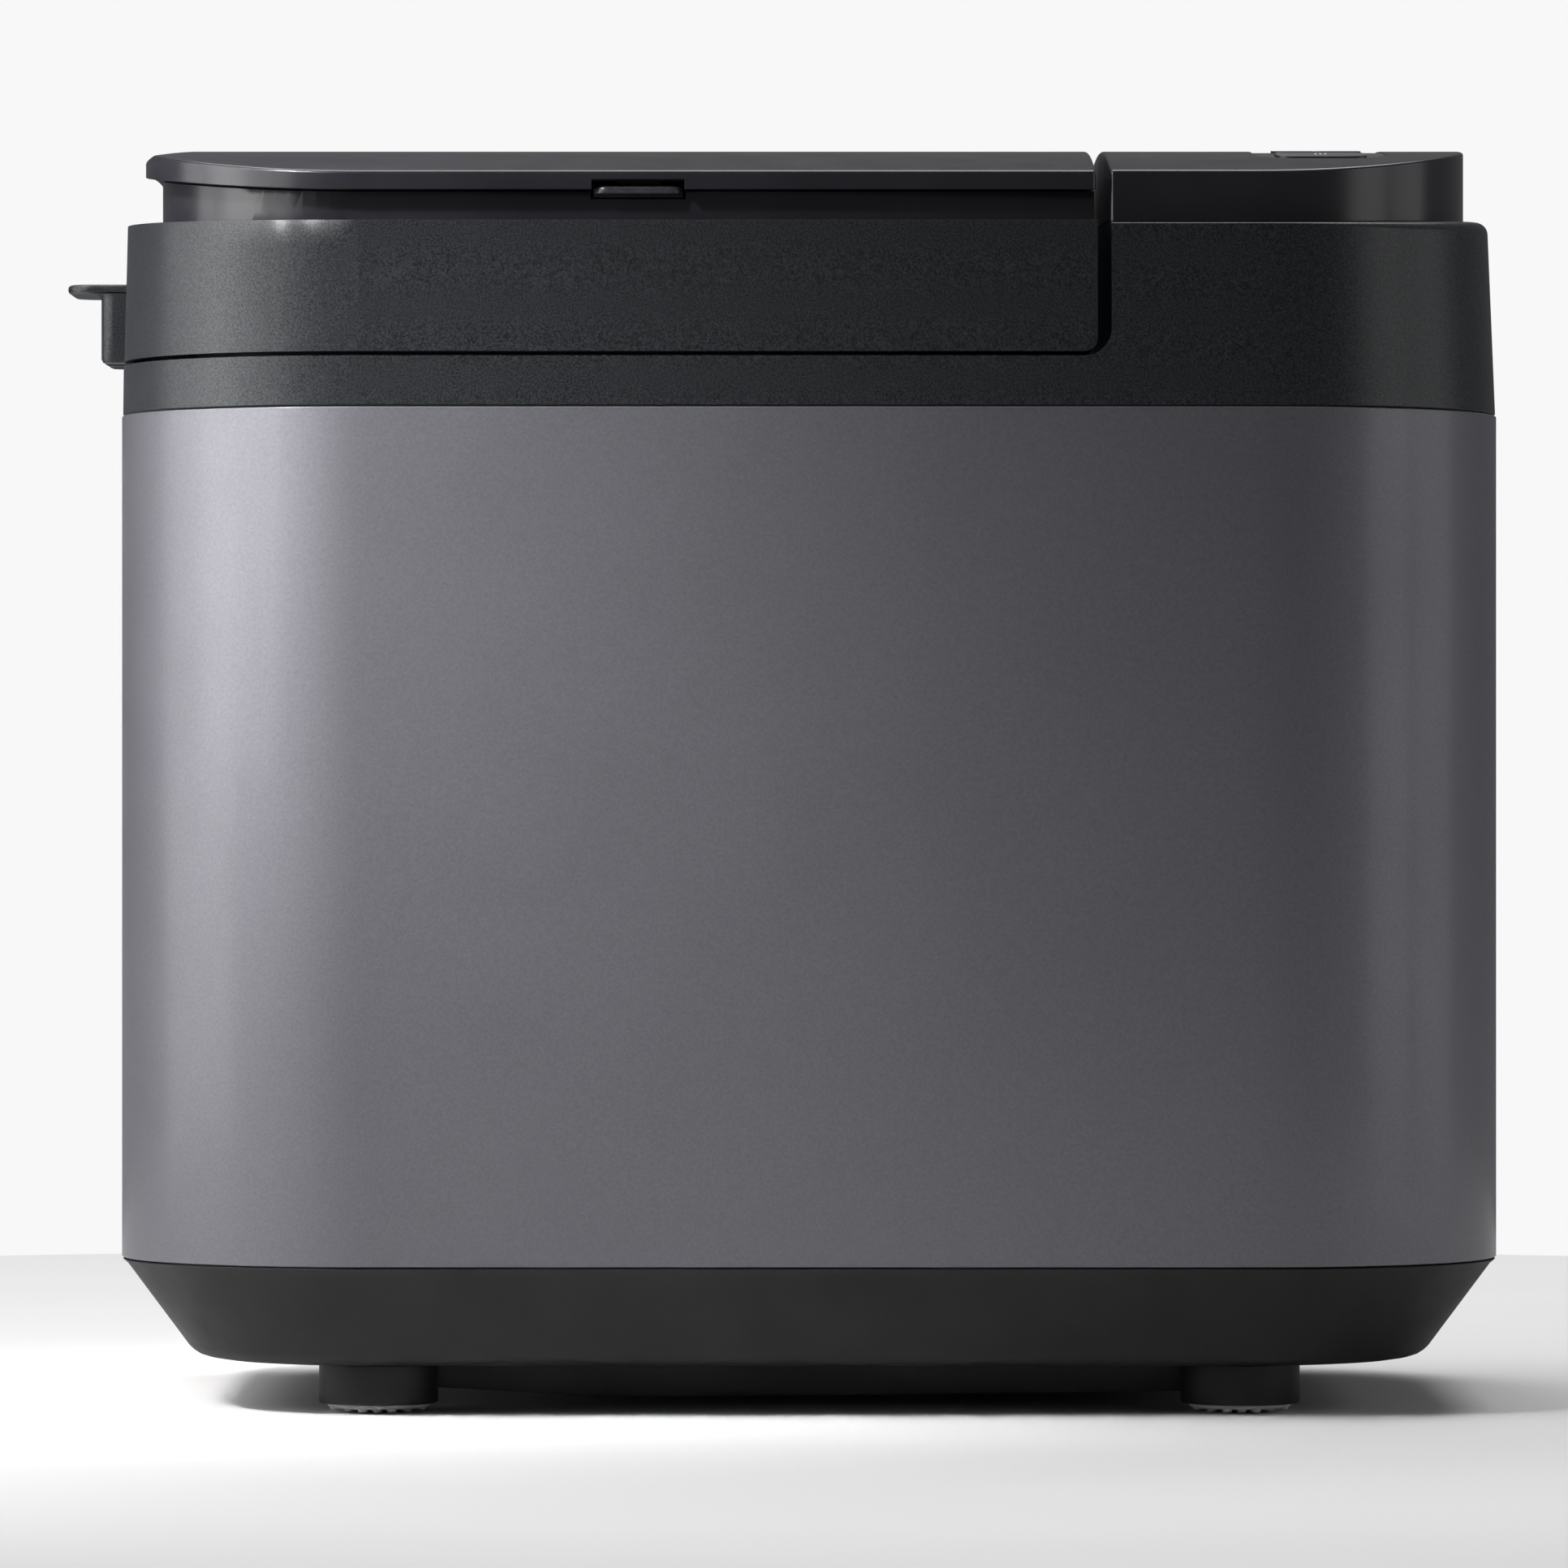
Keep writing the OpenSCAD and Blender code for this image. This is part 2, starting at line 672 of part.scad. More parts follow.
// ---------------------------------------------------------------------------------------------
// Lid
// ---------------------------------------------------------------------------------------------

// The lid's outer form, drawn in by t on every side but the bottom
module lid_form(t) {
  r = 3.5;
  intersection() {
    frame_form(t);
    under_crown(shelf_r - t, shelf_top - t);
    side_cut() {
      translate([-far / 2, lid_z - (t > 0 ? 1 : 0)]) square([far / 2 + lid_front - t - r, 100]);
      translate([-far / 2, lid_z + r]) square([far / 2 + lid_front - t, 100]);
      translate([lid_front - t - r, lid_z + r]) circle(r);
    }
  }
}

module lid_shell() color("#24282a") {
  difference() {
    lid_form(0);
    lid_form(wall);
    translate([tray_x, 0, lid_z]) slab(tray_l + 4, tray_w + 4, 10, 60);
    translate([cup_x, 0, lid_z]) cylinder(r = cup_d / 2 + 2, h = 60);
    for (y = [-1, 1]) translate([rear_x, y * bracket_y, lid_z]) cube([12, bracket_w + 1, 24], center = true);
  }
  for (x = [-150, 70], y = [-96, 96]) intersection() {
    translate([x, y, liner_z + liner_t]) cylinder(r = 4, h = 40);
    under_crown(shelf_r - 1, shelf_top - 1);
  }
}

// Plan of the pieces on the lid: round at the rear and square at the front
module lid_plan(rear, front, half_w, r) intersection() {
  translate([rear + far / 2, 0]) outline(far, 2 * half_w, r);
  translate([rear - 1, -half_w - 1]) square([front - rear + 1, 2 * half_w + 2]);
}

module lid_liner() color("#a9acae") difference() {
  union() {
    translate([0, 0, liner_z]) linear_extrude(liner_t)
      lid_plan(rear_x + 8, lid_front - 4, body_w / 2 - 6, corner_r - 6);
    translate([oven_x, 0, plug_z]) slab(plug_l, plug_w, 26, liner_z - plug_z + liner_t);
  }
  translate([oven_x, 0, plug_z + liner_t]) slab(plug_l - 1.6, plug_w - 1.6, 25.2, 40);
  translate([tray_x, 0, plug_z - 1]) slab(tray_l + 4, tray_w + 4, 6, 10);
  translate([cup_x, 0, plug_z - 1]) cylinder(r = 9, h = 10);
  for (i = [-3:3]) translate([-138, i * 12, plug_z]) cube([8, 4, 8], center = true);
}

module lid_gasket() color("#3a3a3c") translate([oven_x, 0, deck_z + 0.4])
  linear_extrude(liner_z - deck_z - 0.4) difference() {
    outline(oven_l + 22, oven_w + 22, 38);
    outline(plug_l, plug_w, 26);
  }

tab_half_w = 18;
tab_block = 9.8;
tab_plate_t = 2.6;
tab_z = hinge_z + 14.4;

// Block on the lid's back that carries the hinge, and the flat tab above it
module rear_tab() color("#26292b") difference() {
  union() {
    translate([rear_x - tab_block, -tab_half_w, lid_z + 1.8])
      cube([tab_block + 2, 2 * tab_half_w, tab_z - lid_z - 1.8]);
    translate([rear_x - tab_reach, -tab_half_w, tab_z]) cube([tab_reach + 2, 2 * tab_half_w, tab_plate_t]);
  }
  lid_form(0);
  for (y = [-1, 1]) translate([hinge_x, y * bracket_y, hinge_z]) {
    rod_y(hinge_pin_r + play, hinge_pin_l + 0.4);
    translate([-10, -bracket_w / 2 - 0.5, -20]) cube([20, bracket_w + 1, 25.5]);
  }
}

// Each bracket stands on the deck inside the lid's rear wall and reaches out to the hinge line
module hinge_brackets() color("#8c8f92") for (y = [-1, 1]) difference() {
  foot_x = rear_x + 2.2;
  translate([0, y * bracket_y, 0]) {
    translate([hinge_x, 0, hinge_z]) rod_y(4.2, bracket_w);
    translate([hinge_x, -bracket_w / 2, hinge_z - 3.4]) cube([foot_x - hinge_x + 3.8, bracket_w, 6.8]);
    translate([foot_x, -bracket_w / 2, deck_z]) cube([3.8, bracket_w, hinge_z - deck_z]);
  }
  translate([hinge_x, y * bracket_y, hinge_z]) rod_y(hinge_pin_r, hinge_pin_l);
}

module lid_hinge_pins() color("silver") for (y = [-1, 1])
  translate([hinge_x, y * bracket_y, hinge_z]) rod_y(hinge_pin_r, hinge_pin_l);

// ---------------------------------------------------------------------------------------------
// Dispenser
// ---------------------------------------------------------------------------------------------

cap_lug_x = [-110, 20];
relief_y = housing_half_w - step_in;
relief_z = cap_hinge_z - 4.1;
floor_t = 2;

module above_shelf(h) intersection() {
  children();
  under_crown(shelf_r + h, shelf_top + h);
}

module dispenser_housing() color("#1b1b1e") {
  difference() {
    union() {
      intersection() {
        translate([0, 0, shelf_top - 10]) linear_extrude(60)
          lid_plan(housing_rear, lid_front - 0.5, housing_half_w, cap_r - 5);
        below_rim(0.9);
      }
      intersection() {
        translate([0, 0, shelf_top - 10]) linear_extrude(60) lid_plan(
          housing_rear + step_in, lid_front - 0.5 - step_in, housing_half_w - step_in, cap_r - 5 - step_in);
        crowned(wall + 0.5);
      }
    }
    above_bevel(wall + 0.5);
    under_crown(shelf_r, shelf_top);
    difference() {
      translate([0, 0, shelf_top - 10]) linear_extrude(80) lid_plan(
        housing_rear + step_in + 2, lid_front - 2.5 - step_in, housing_half_w - step_in - 2,
        cap_r - 7 - step_in);
      under_crown(shelf_r + floor_t, shelf_top + floor_t);
    }
    translate([-far / 2, relief_y, relief_z]) cube([far, 20, 40]);
    translate([catch_x, -housing_half_w, catch_z + 0.8]) cube([catch_w + 1.4, 16, 5.2], center = true);
    translate([tray_x, 0, lid_z]) slab(tray_l + 0.6, tray_w + 0.6, 8.3, 60);
    translate([cup_x, 0, lid_z]) cylinder(r = cup_d / 2 + 0.3, h = 60);
    for (i = [-4:4]) translate([housing_rear, i * 9, shelf_top + 7]) cube([20, 4, 7], center = true);
  }
  difference() {
    translate([catch_x - catch_w / 2, -89.9, shelf_top - 6]) cube([catch_w, 2, catch_z - shelf_top + 7]);
    under_crown(shelf_r, shelf_top);
  }
  for (x = cap_lug_x) difference() {
    union() {
      translate([x, cap_hinge_y, cap_hinge_z]) rod_x(2.2, cap_lug_w);
      translate([x - cap_lug_w / 2, cap_hinge_y - 1.7, relief_z - 3]) cube([cap_lug_w, 3.4, cap_hinge_z - relief_z + 3]);
      translate([x - cap_lug_w / 2, relief_y, shelf_top - 3])
        cube([cap_lug_w, cap_hinge_y + 1.7 - relief_y, relief_z - shelf_top + 2.6]);
    }
    under_crown(shelf_r, shelf_top);
    translate([x, cap_hinge_y, cap_hinge_z]) rod_x(cap_pin_r, 20);
  }
}

// Everything at least depth below the lower edge of the dispenser lid's rim
module below_rim(depth) under_crown(rim_crown_r, height - rim_crest - depth);

// Everything above the sloping rear end of the dispenser lid, or above a plane depth below it
module above_bevel(depth)
  translate([cap_rear, 0, height - bevel_drop]) rotate([0, -bevel_angle, 0]) translate([-20, -far / 2, -depth])
    cube([60, far, 30]);

module cap_plan(t) lid_plan(cap_rear + t, lid_front - 0.2 - t, cap_half_w - t, cap_r - t);

// Crowned lid over the nut tray and the yeast cup, hinged on the far side
module dispenser_lid() color("#2a2a2d") difference() {
  union() {
    difference() {
      intersection() {
        translate([0, 0, crown_axis + crown_r - 40]) linear_extrude(60) cap_plan(0);
        crowned(0);
      }
      difference() {
        intersection() {
          translate([0, 0, crown_axis + crown_r - 50]) linear_extrude(90) cap_plan(wall);
          crowned(wall);
        }
        above_bevel(wall);
      }
      below_rim(0);
    }
    for (x = cap_lug_x, side = [-1, 1]) intersection() {
      translate([x + side * (cap_lug_w + 0.6), cap_half_w - 2.5, cap_hinge_z])
        cube([cap_lug_w, 5, 5], center = true);
      crowned(0);
    }
    intersection() {
      translate([catch_x - 6, -104.5, catch_z + 2.6]) cube([12, 2, 20]);
      crowned(wall - 0.5);
    }
  }
  for (x = cap_lug_x) {
    translate([x, cap_half_w, cap_hinge_z]) cube([cap_lug_w + 0.8, 11, 20], center = true);
    translate([x, cap_hinge_y, cap_hinge_z]) rod_x(cap_pin_r + play, 25.2);
  }
  translate([catch_x, -cap_half_w, catch_z + 1.2]) cube([catch_w + 0.8, 8, 4.4], center = true);
  above_bevel(0);
}

module dispenser_hinge_pins() color("silver") for (x = cap_lug_x)
  translate([x, cap_hinge_y, cap_hinge_z]) rod_x(cap_pin_r, 24);

// Soft rings under the dispenser lid that meet the rims of the tray and the cup
module dispenser_seals() color("#6a6a6e") difference() {
  intersection() {
    translate([0, 0, tray_top + gap]) {
      translate([tray_x, 0, 0]) linear_extrude(30) difference() {
        outline(tray_l + 2, tray_w + 2, 9);
        outline(tray_l - 6, tray_w - 6, 5);
      }
      translate([cup_x, 0, 0]) ring(cup_d / 2 + 1, cup_d / 2 - 3, 30);
    }
    crowned(wall);
  }
}

// Finger tab that is pushed in to free the dispenser lid
module catch_slider() color("#303034") {
  translate([catch_x - catch_w / 2 + 0.1, -cap_half_w + 0.7, catch_z + 0.1]) cube([catch_w - 0.2, 10, 2.3]);
  translate([catch_x - catch_w / 2 + 0.1, -cap_half_w + 4.5, catch_z - 1.3]) cube([catch_w - 0.2, 14, 1.5]);
  translate([catch_x - 5, -100, catch_z - 0.2]) cube([10, 2, 3.8]);
  translate([catch_x - 5, -102.1, catch_z + 2]) cube([10, 2.2, 1.6]);
}

// Leaf spring between the catch and a rib of the housing
module catch_spring() color("silver") translate([catch_x, 0, catch_z - 1.8]) linear_extrude(2)
  polygon([
    [-9, -97.4], [-8.6, -97.4], [0, -90.6], [8.6, -97.4], [9, -97.4], [0.3, -90], [-0.3, -90]
  ]);

module nut_tray() color("#d8d8da") translate([tray_x, 0, 0]) difference() {
  bottom_z = flap_z + 2.4;
  union() {
    translate([0, 0, bottom_z]) slab(tray_l, tray_w, 8, tray_top - bottom_z);
    translate([0, 0, shelf_top + floor_t]) slab(tray_l + 8, tray_w + 8, 12, 1.6);
    for (y = [-1, 1]) translate([flap_x - tray_x - 2.6, y * 51 - 2, flap_z - 1.8]) cube([5.2, 4, 8]);
  }
  translate([0, 0, bottom_z + 2]) slab(tray_l - 4, tray_w - 4, 6, 100);
  translate([0, 0, bottom_z - 1]) slab(36, 90, 4, 10);
  translate([flap_x - tray_x, 0, flap_z]) rod_y(1 + play, 110);
}

// Trapdoor under the nut tray
module nut_flap() color("#c4c4c8") translate([flap_x, 0, flap_z]) {
  translate([0, -48, -1]) cube([42, 96, 2]);
  rod_y(1.8, 96);
  rod_y(1, 104);
}

solenoid_l = 28;
rod_r = 3;
rod_z = plug_z + liner_t + 11;
nut_rod_x = -58;
nut_body_y = -48;
yeast_body_y = 66;

module lid_solenoids() color("#7a6a3a")
  for (at = [[nut_rod_x, nut_body_y], [cup_x, yeast_body_y]]) difference() {
    translate([at[0] - 11, at[1] - solenoid_l / 2, plug_z + liner_t]) cube([22, solenoid_l, 21]);
    translate([at[0], at[1], rod_z]) rod_y(rod_r + play, 60);
  }

module nut_plunger() color("silver") {
  translate([nut_rod_x, nut_body_y + 12, rod_z]) rod_y(rod_r, 32);
  translate([nut_rod_x, nut_body_y + 30, rod_z]) rod_y(5, 4);
}

module yeast_cup() color("#e2e2e4") translate([cup_x, 0, 0]) {
  mouth_z = rod_z + 5;
  difference() {
    union() {
      translate([0, 0, mouth_z + 12]) cylinder(r = cup_d / 2, h = tray_top - mouth_z - 12);
      translate([0, 0, mouth_z]) cylinder(r1 = 8, r2 = cup_d / 2, h = 12);
      translate([0, 0, shelf_top + floor_t + 0.2]) cylinder(r = cup_d / 2 + 3, h = 1.6);
    }
    translate([0, 0, mouth_z + 12]) cylinder(r = cup_d / 2 - 1.6, h = 100);
    translate([0, 0, mouth_z - 0.01]) cylinder(r1 = 6, r2 = cup_d / 2 - 1.6, h = 12.02);
  }
}

// Sliding shutter under the yeast cup, on the plunger of its solenoid
module yeast_shutter() color("#c4c4c8") {
  translate([cup_x - 10, -10, rod_z + 2.6]) cube([20, 34, 2]);
  translate([cup_x, 21, rod_z]) cube([8, 4, 8], center = true);
  translate([cup_x, 44, rod_z]) rod_y(rod_r, 44);
}

// ---------------------------------------------------------------------------------------------
// Control panel
// ---------------------------------------------------------------------------------------------

// Plan of the panel: square at the rear and round at the front
module panel_plan(t) intersection() {
  translate([panel_front - t - far / 2, 0]) outline(far, 2 * (panel_half_w - t), panel_r - t);
  translate([panel_rear + t, -panel_half_w]) square([far, 2 * panel_half_w]);
}

// Each button: its place along and across the panel, its length and its width
menu_at = [strip_x, -71, 25, 18];
crust_at = [strip_x, -48, 25, 18];
up_at = [strip_x - 7, 48, 11, 18];
down_at = [strip_x + 7, 48, 11, 18];
start_at = [strip_x - 7, 71, 11, 18];
stop_at = [strip_x + 7, 71, 11, 18];
buttons = [menu_at, crust_at, up_at, down_at, start_at, stop_at];
button_r = 4;

module button_holes() for (b = buttons)
  translate([b[0], b[1], height - 40]) slab(b[2] + 2 * gap, b[3] + 2 * gap, button_r + gap, 80);

module panel_block() color("#1b1b1e") {
  difference() {
    intersection() {
      translate([0, 0, height - 50]) linear_extrude(80) panel_plan(0);
      crowned(0);
    }
    under_crown(frame_r, frame_top);
    intersection() {
      translate([0, 0, height - 60]) linear_extrude(120) panel_plan(wall);
      crowned(plate_t);
    }
    difference() {
      translate([strip_x, 0, height - 40]) slab(strip_l, strip_w, 12, 80);
      crowned(strip_t);
    }
    translate([strip_x, 0, height - 40]) slab(window_l - 4, window_w - 4, 2, 80);
    button_holes();
  }
  for (x = [110, 176], y = [-78, 78]) intersection() {
    translate([x, y, board_z + board_t]) ring(3, 1.2, 30);
    crowned(plate_t - 0.5);
  }
}

module panel_strip() color("#26262a") difference() {
  intersection() {
    translate([strip_x, 0, height - 40]) slab(strip_l, strip_w, 12, 80);
    crowned(0.4);
  }
  crowned(strip_t);
  translate([strip_x, 0, height - 40]) slab(window_l, window_w, 4, 80);
  button_holes();
}

module lcd_window() color("#3c4240") difference() {
  intersection() {
    translate([strip_x, 0, height - 40]) slab(window_l, window_w, 4, 80);
    crowned(0.3);
  }
  crowned(strip_t);
}

module lcd_module() color("#6d7468") {
  translate([strip_x - 15, -31, height - 10.5]) cube([30, 62, 6]);
  for (x = [-12, 12], y = [-28, 28]) translate([strip_x + x, y, board_z + board_t])
    cylinder(r = 1.6, h = height - 10.5 - board_z - board_t);
}

module control_board() color("#2f6b3f") {
  translate([104, -84, board_z]) cube([76, 168, board_t]);
  for (b = buttons) translate([b[0], b[1], board_z + board_t]) {
    translate([-3, -3, 0]) cube([6, 6, switch_h]);
  }
  translate([112, -30, board_z - 4]) cube([14, 14, 4]);
  translate([112, 20, board_z - 8]) cube([8, 30, 8]);
  translate([116, 66, board_z + board_t]) cylinder(r = 6, h = 4);
}

module button(b) {
  stem_z = board_z + board_t + switch_h + button_travel + gap;
  lip = 1.2;
  difference() {
    union() {
      intersection() {
        translate([b[0], b[1], height - 40]) slab(b[2], b[3], button_r, 80);
        crowned(-0.2);
      }
      intersection() {
        translate([b[0], b[1], height - 40]) slab(b[2] + 2 * lip, b[3] + 2 * lip, button_r + lip, 80);
        crowned(plate_t + gap);
      }
    }
    crowned(plate_t + gap + 1.2);
  }
  intersection() {
    translate([b[0], b[1], stem_z]) cylinder(r = 2, h = 30);
    crowned(plate_t + gap);
  }
}

module button_menu() color("#303034") button(menu_at);
module button_crust() color("#303034") button(crust_at);
module button_timer_up() color("#303034") button(up_at);
module button_timer_down() color("#303034") button(down_at);
module button_start() color("#4a4a50") button(start_at);
module button_stop() color("#4a4a50") button(stop_at);

outer_wrap();
base_shell();
bottom_cover();
foot_pads();
base_screws();
cord_inlet();
top_frame();
panel_block();
panel_strip();
lcd_window();
lcd_module();
control_board();
button_menu();
button_crust();
button_timer_up();
button_timer_down();
button_start();
button_stop();
chassis_plate();
oven_chamber();
heat_shield();
heating_element();
temperature_sensor();
pan_seat();
bearing_housing();
drive_shaft();
drive_coupler();
large_pulley();
drive_belt();
motor();
motor_shaft();
small_pulley();
motor_fan();
power_board();
bread_pan();
pan_base();
pan_bearing();
pan_handle();
kneading_blade();
pan_shaft();
pan_coupler();
hinge_brackets();
lid_hinge_pins();
lid_shell();
rear_tab();
lid_liner();
lid_gasket();
dispenser_housing();
dispenser_lid();
dispenser_seals();
dispenser_hinge_pins();
catch_slider();
catch_spring();
nut_tray();
nut_flap();
nut_plunger();
yeast_cup();
yeast_shutter();
lid_solenoids();
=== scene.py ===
"""Looks of the bread machine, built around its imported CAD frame."""

import json
import math

import bmesh
import bpy
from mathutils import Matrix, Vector

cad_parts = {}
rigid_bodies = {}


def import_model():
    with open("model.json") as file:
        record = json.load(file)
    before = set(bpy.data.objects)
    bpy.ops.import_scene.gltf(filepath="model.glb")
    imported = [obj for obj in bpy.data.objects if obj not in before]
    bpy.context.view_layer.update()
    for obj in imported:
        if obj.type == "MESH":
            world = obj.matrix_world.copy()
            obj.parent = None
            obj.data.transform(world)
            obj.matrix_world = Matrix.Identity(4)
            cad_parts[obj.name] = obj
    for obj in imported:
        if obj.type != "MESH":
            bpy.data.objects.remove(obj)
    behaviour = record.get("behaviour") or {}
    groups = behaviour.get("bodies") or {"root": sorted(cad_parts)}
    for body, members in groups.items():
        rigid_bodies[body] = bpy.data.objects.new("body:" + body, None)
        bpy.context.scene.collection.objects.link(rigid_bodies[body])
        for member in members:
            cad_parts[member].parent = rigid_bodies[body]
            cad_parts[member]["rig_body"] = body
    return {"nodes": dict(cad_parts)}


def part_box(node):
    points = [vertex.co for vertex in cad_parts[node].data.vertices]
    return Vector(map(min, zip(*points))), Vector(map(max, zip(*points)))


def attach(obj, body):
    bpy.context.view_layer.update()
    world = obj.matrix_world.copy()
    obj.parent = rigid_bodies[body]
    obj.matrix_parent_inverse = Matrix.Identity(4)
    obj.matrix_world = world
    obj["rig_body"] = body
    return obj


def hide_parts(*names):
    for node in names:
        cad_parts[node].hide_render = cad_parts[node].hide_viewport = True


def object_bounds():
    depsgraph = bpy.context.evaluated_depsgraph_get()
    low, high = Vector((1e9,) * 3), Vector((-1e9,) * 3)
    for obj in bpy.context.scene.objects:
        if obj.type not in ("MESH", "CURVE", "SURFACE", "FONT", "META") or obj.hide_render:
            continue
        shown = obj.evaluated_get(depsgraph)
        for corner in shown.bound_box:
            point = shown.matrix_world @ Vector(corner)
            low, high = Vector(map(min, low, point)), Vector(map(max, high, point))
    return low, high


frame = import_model()
CAD_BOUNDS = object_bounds()
NODES = frame["nodes"]
SLOT_OF = {name: obj.data.materials[0].name for name, obj in NODES.items()}
MM = 0.001

# The crowned tops, in millimetres: height of the crest, and the radii across the machine
CREST_Z = CAD_BOUNDS[1][2] / MM
CROWN_R = 555.0
FRAME_R = 1500.0
RIM_R = 707.0

# Outlines in plan, in millimetres: the body, the crowned tops and the oven's mouth
BODY_R = 70.0
TOP_R = 62.0
SEAM_R = 1.2
MOUTH_HALF_L = 110.5
MOUTH_HALF_W = 93.0
MOUTH_R = 33.0
FOOT_R = 14.35

# Points along a corner, along a side, and over a rounded edge
CORNER_STEPS = 20
SIDE_STEPS = 28
EDGE_STEPS = 5

# Beyond the machine on every side, for cutters
FAR = 400.0


# ---------------------------------------------------------------------------------------------
# Mesh helpers, all in millimetres
# ---------------------------------------------------------------------------------------------
def box_mm(node):
    """Lowest and highest corner of a CAD node, in millimetres."""
    low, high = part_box(node)
    return low / MM, high / MM


def body_of(node):
    return NODES[node]["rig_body"]


def new_piece(name, verts, faces, material, body, replaces=()):
    """Mesh object from millimetre vertices that rides on a body and stands for CAD nodes."""
    mesh = bpy.data.meshes.new(name)
    mesh.from_pydata([Vector(v) * MM for v in verts], [], faces)
    bm = bmesh.new()
    bm.from_mesh(mesh)
    bmesh.ops.remove_doubles(bm, verts=bm.verts, dist=1e-7)
    bmesh.ops.recalc_face_normals(bm, faces=bm.faces)
    bm.to_mesh(mesh)
    bm.free()
    obj = bpy.data.objects.new(name, mesh)
    bpy.context.scene.collection.objects.link(obj)
    mesh.materials.append(material)
    shade(obj)
    settle(obj, body, replaces)
    return obj


def settle(obj, body, replaces=()):
    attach(obj, body)
    if replaces:
        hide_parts(*replaces)


def shade(obj):
    """Smooth shading that stays sharp across the steeper edges."""
    obj.data.polygons.foreach_set("use_smooth", [True] * len(obj.data.polygons))
    obj.data.set_sharp_from_angle(angle=math.radians(32))


def soften(obj, width):
    """Small round on every sharp edge, with the flat faces kept flat."""
    bevel = obj.modifiers.new("edge_round", "BEVEL")
    bevel.width = width * MM
    bevel.segments = 2
    bevel.limit_method = "ANGLE"
    bevel.angle_limit = math.radians(40)
    bevel.use_clamp_overlap = True
    bevel.harden_normals = True
    bevel.miter_outer = "MITER_ARC"
    return obj


def refined(node, width):
    """Copy of a CAD node with joined faces and softly rounded edges, which stands for the node."""
    mesh = bpy.data.meshes.new(node + "_fine")
    bm = bmesh.new()
    bm.from_mesh(NODES[node].data)
    bmesh.ops.remove_doubles(bm, verts=bm.verts, dist=2e-6)
    bmesh.ops.dissolve_limit(
        bm, angle_limit=math.radians(0.05), verts=bm.verts, edges=bm.edges, delimit={"SHARP"})
    bm.to_mesh(mesh)
    bm.free()
    finish = FINISHES[SLOT_OF[node]]
    mesh.materials.clear()
    mesh.materials.append(finish)
    obj = bpy.data.objects.new(node + "_fine", mesh)
    bpy.context.scene.collection.objects.link(obj)
    shade(obj)
    soften(obj, width)
    settle(obj, body_of(node), (node,))
    return obj


def plan(x0, x1, half_w, rear_r, front_r, inset=0.0):
    """Closed outline in X and Y with its own radius at the rear and the front corners."""
    x0 += inset
    x1 -= inset
    half_w -= inset
    rear_r = max(rear_r - inset, 0.05)
    front_r = max(front_r - inset, 0.05)
    corners = [
        (x1 - front_r, -half_w + front_r, front_r, -90),
        (x1 - front_r, half_w - front_r, front_r, 0),
        (x0 + rear_r, half_w - rear_r, rear_r, 90),
        (x0 + rear_r, -half_w + rear_r, rear_r, 180),
    ]
    points = []
    for i, (cx, cy, r, start) in enumerate(corners):
        for k in range(CORNER_STEPS + 1):
            a = math.radians(start + 90 * k / CORNER_STEPS)
            points.append(Vector((cx + r * math.cos(a), cy + r * math.sin(a))))
        nx, ny, nr, nstart = corners[(i + 1) % 4]
        a = math.radians(nstart)
        last = points[-1]
        following = Vector((nx + nr * math.cos(a), ny + nr * math.sin(a)))
        points += [last.lerp(following, k / SIDE_STEPS) for k in range(1, SIDE_STEPS)]
    return points


def at_height(points, z):
    """Outline lifted to z, which is a number or a function of x and y."""
    lift = z if callable(z) else lambda x, y: z
    return [Vector((p.x, p.y, lift(p.x, p.y))) for p in points]


def loft(loops, closed=False, fill_first=False, fill_last=False):
    """Vertices and faces of a skin over closed loops of equal length."""
    n = len(loops[0])
    verts = [v for loop in loops for v in loop]
    faces = []
    for i in range(len(loops) if closed else len(loops) - 1):
        a, b = i * n, ((i + 1) % len(loops)) * n
        faces += [(a + k, a + (k + 1) % n, b + (k + 1) % n, b + k) for k in range(n)]
    if fill_first:
        faces.append(tuple(reversed(range(n))))
    if fill_last:
        faces.append(tuple(range((len(loops) - 1) * n, len(loops) * n)))
    return verts, faces


def fillet(corner, start, end):
    """Quarter round from start to end, both (inset, z), with its corner given."""
    out = []
    for k in range(EDGE_STEPS + 1):
        a = math.pi / 2 * k / EDGE_STEPS
        out.append(tuple(
            c + (s - c) * (1 - math.sin(a)) + (e - c) * (1 - math.cos(a))
            for c, s, e in zip(corner, start, end)))
    return out


def shrink(points, steps, centre):
    """Outlines that draw in from points to a short line at the centre."""
    return [[p.lerp(Vector((centre[0], centre[1])), k / steps) for p in points]
            for k in range(1, steps)]


def lathe(profile, centre, steps=64):
    """Vertices and faces of a turned form; the profile is (radius, z) from axis to axis."""
    verts, faces = [], []
    for r, z in profile:
        for k in range(steps):
            a = 2 * math.pi * k / steps
            verts.append((centre[0] + r * math.cos(a), centre[1] + r * math.sin(a), z))
    for i in range(len(profile) - 1):
        for k in range(steps):
            faces.append((i * steps + k, i * steps + (k + 1) % steps,
                          (i + 1) * steps + (k + 1) % steps, (i + 1) * steps + k))
    return verts, faces


def merged(parts):
    """Several (vertices, faces) pairs as one."""
    verts, faces = [], []
    for part_verts, part_faces in parts:
        offset = len(verts)
        verts += list(part_verts)
        faces += [tuple(i + offset for i in face) for face in part_faces]
    return verts, faces


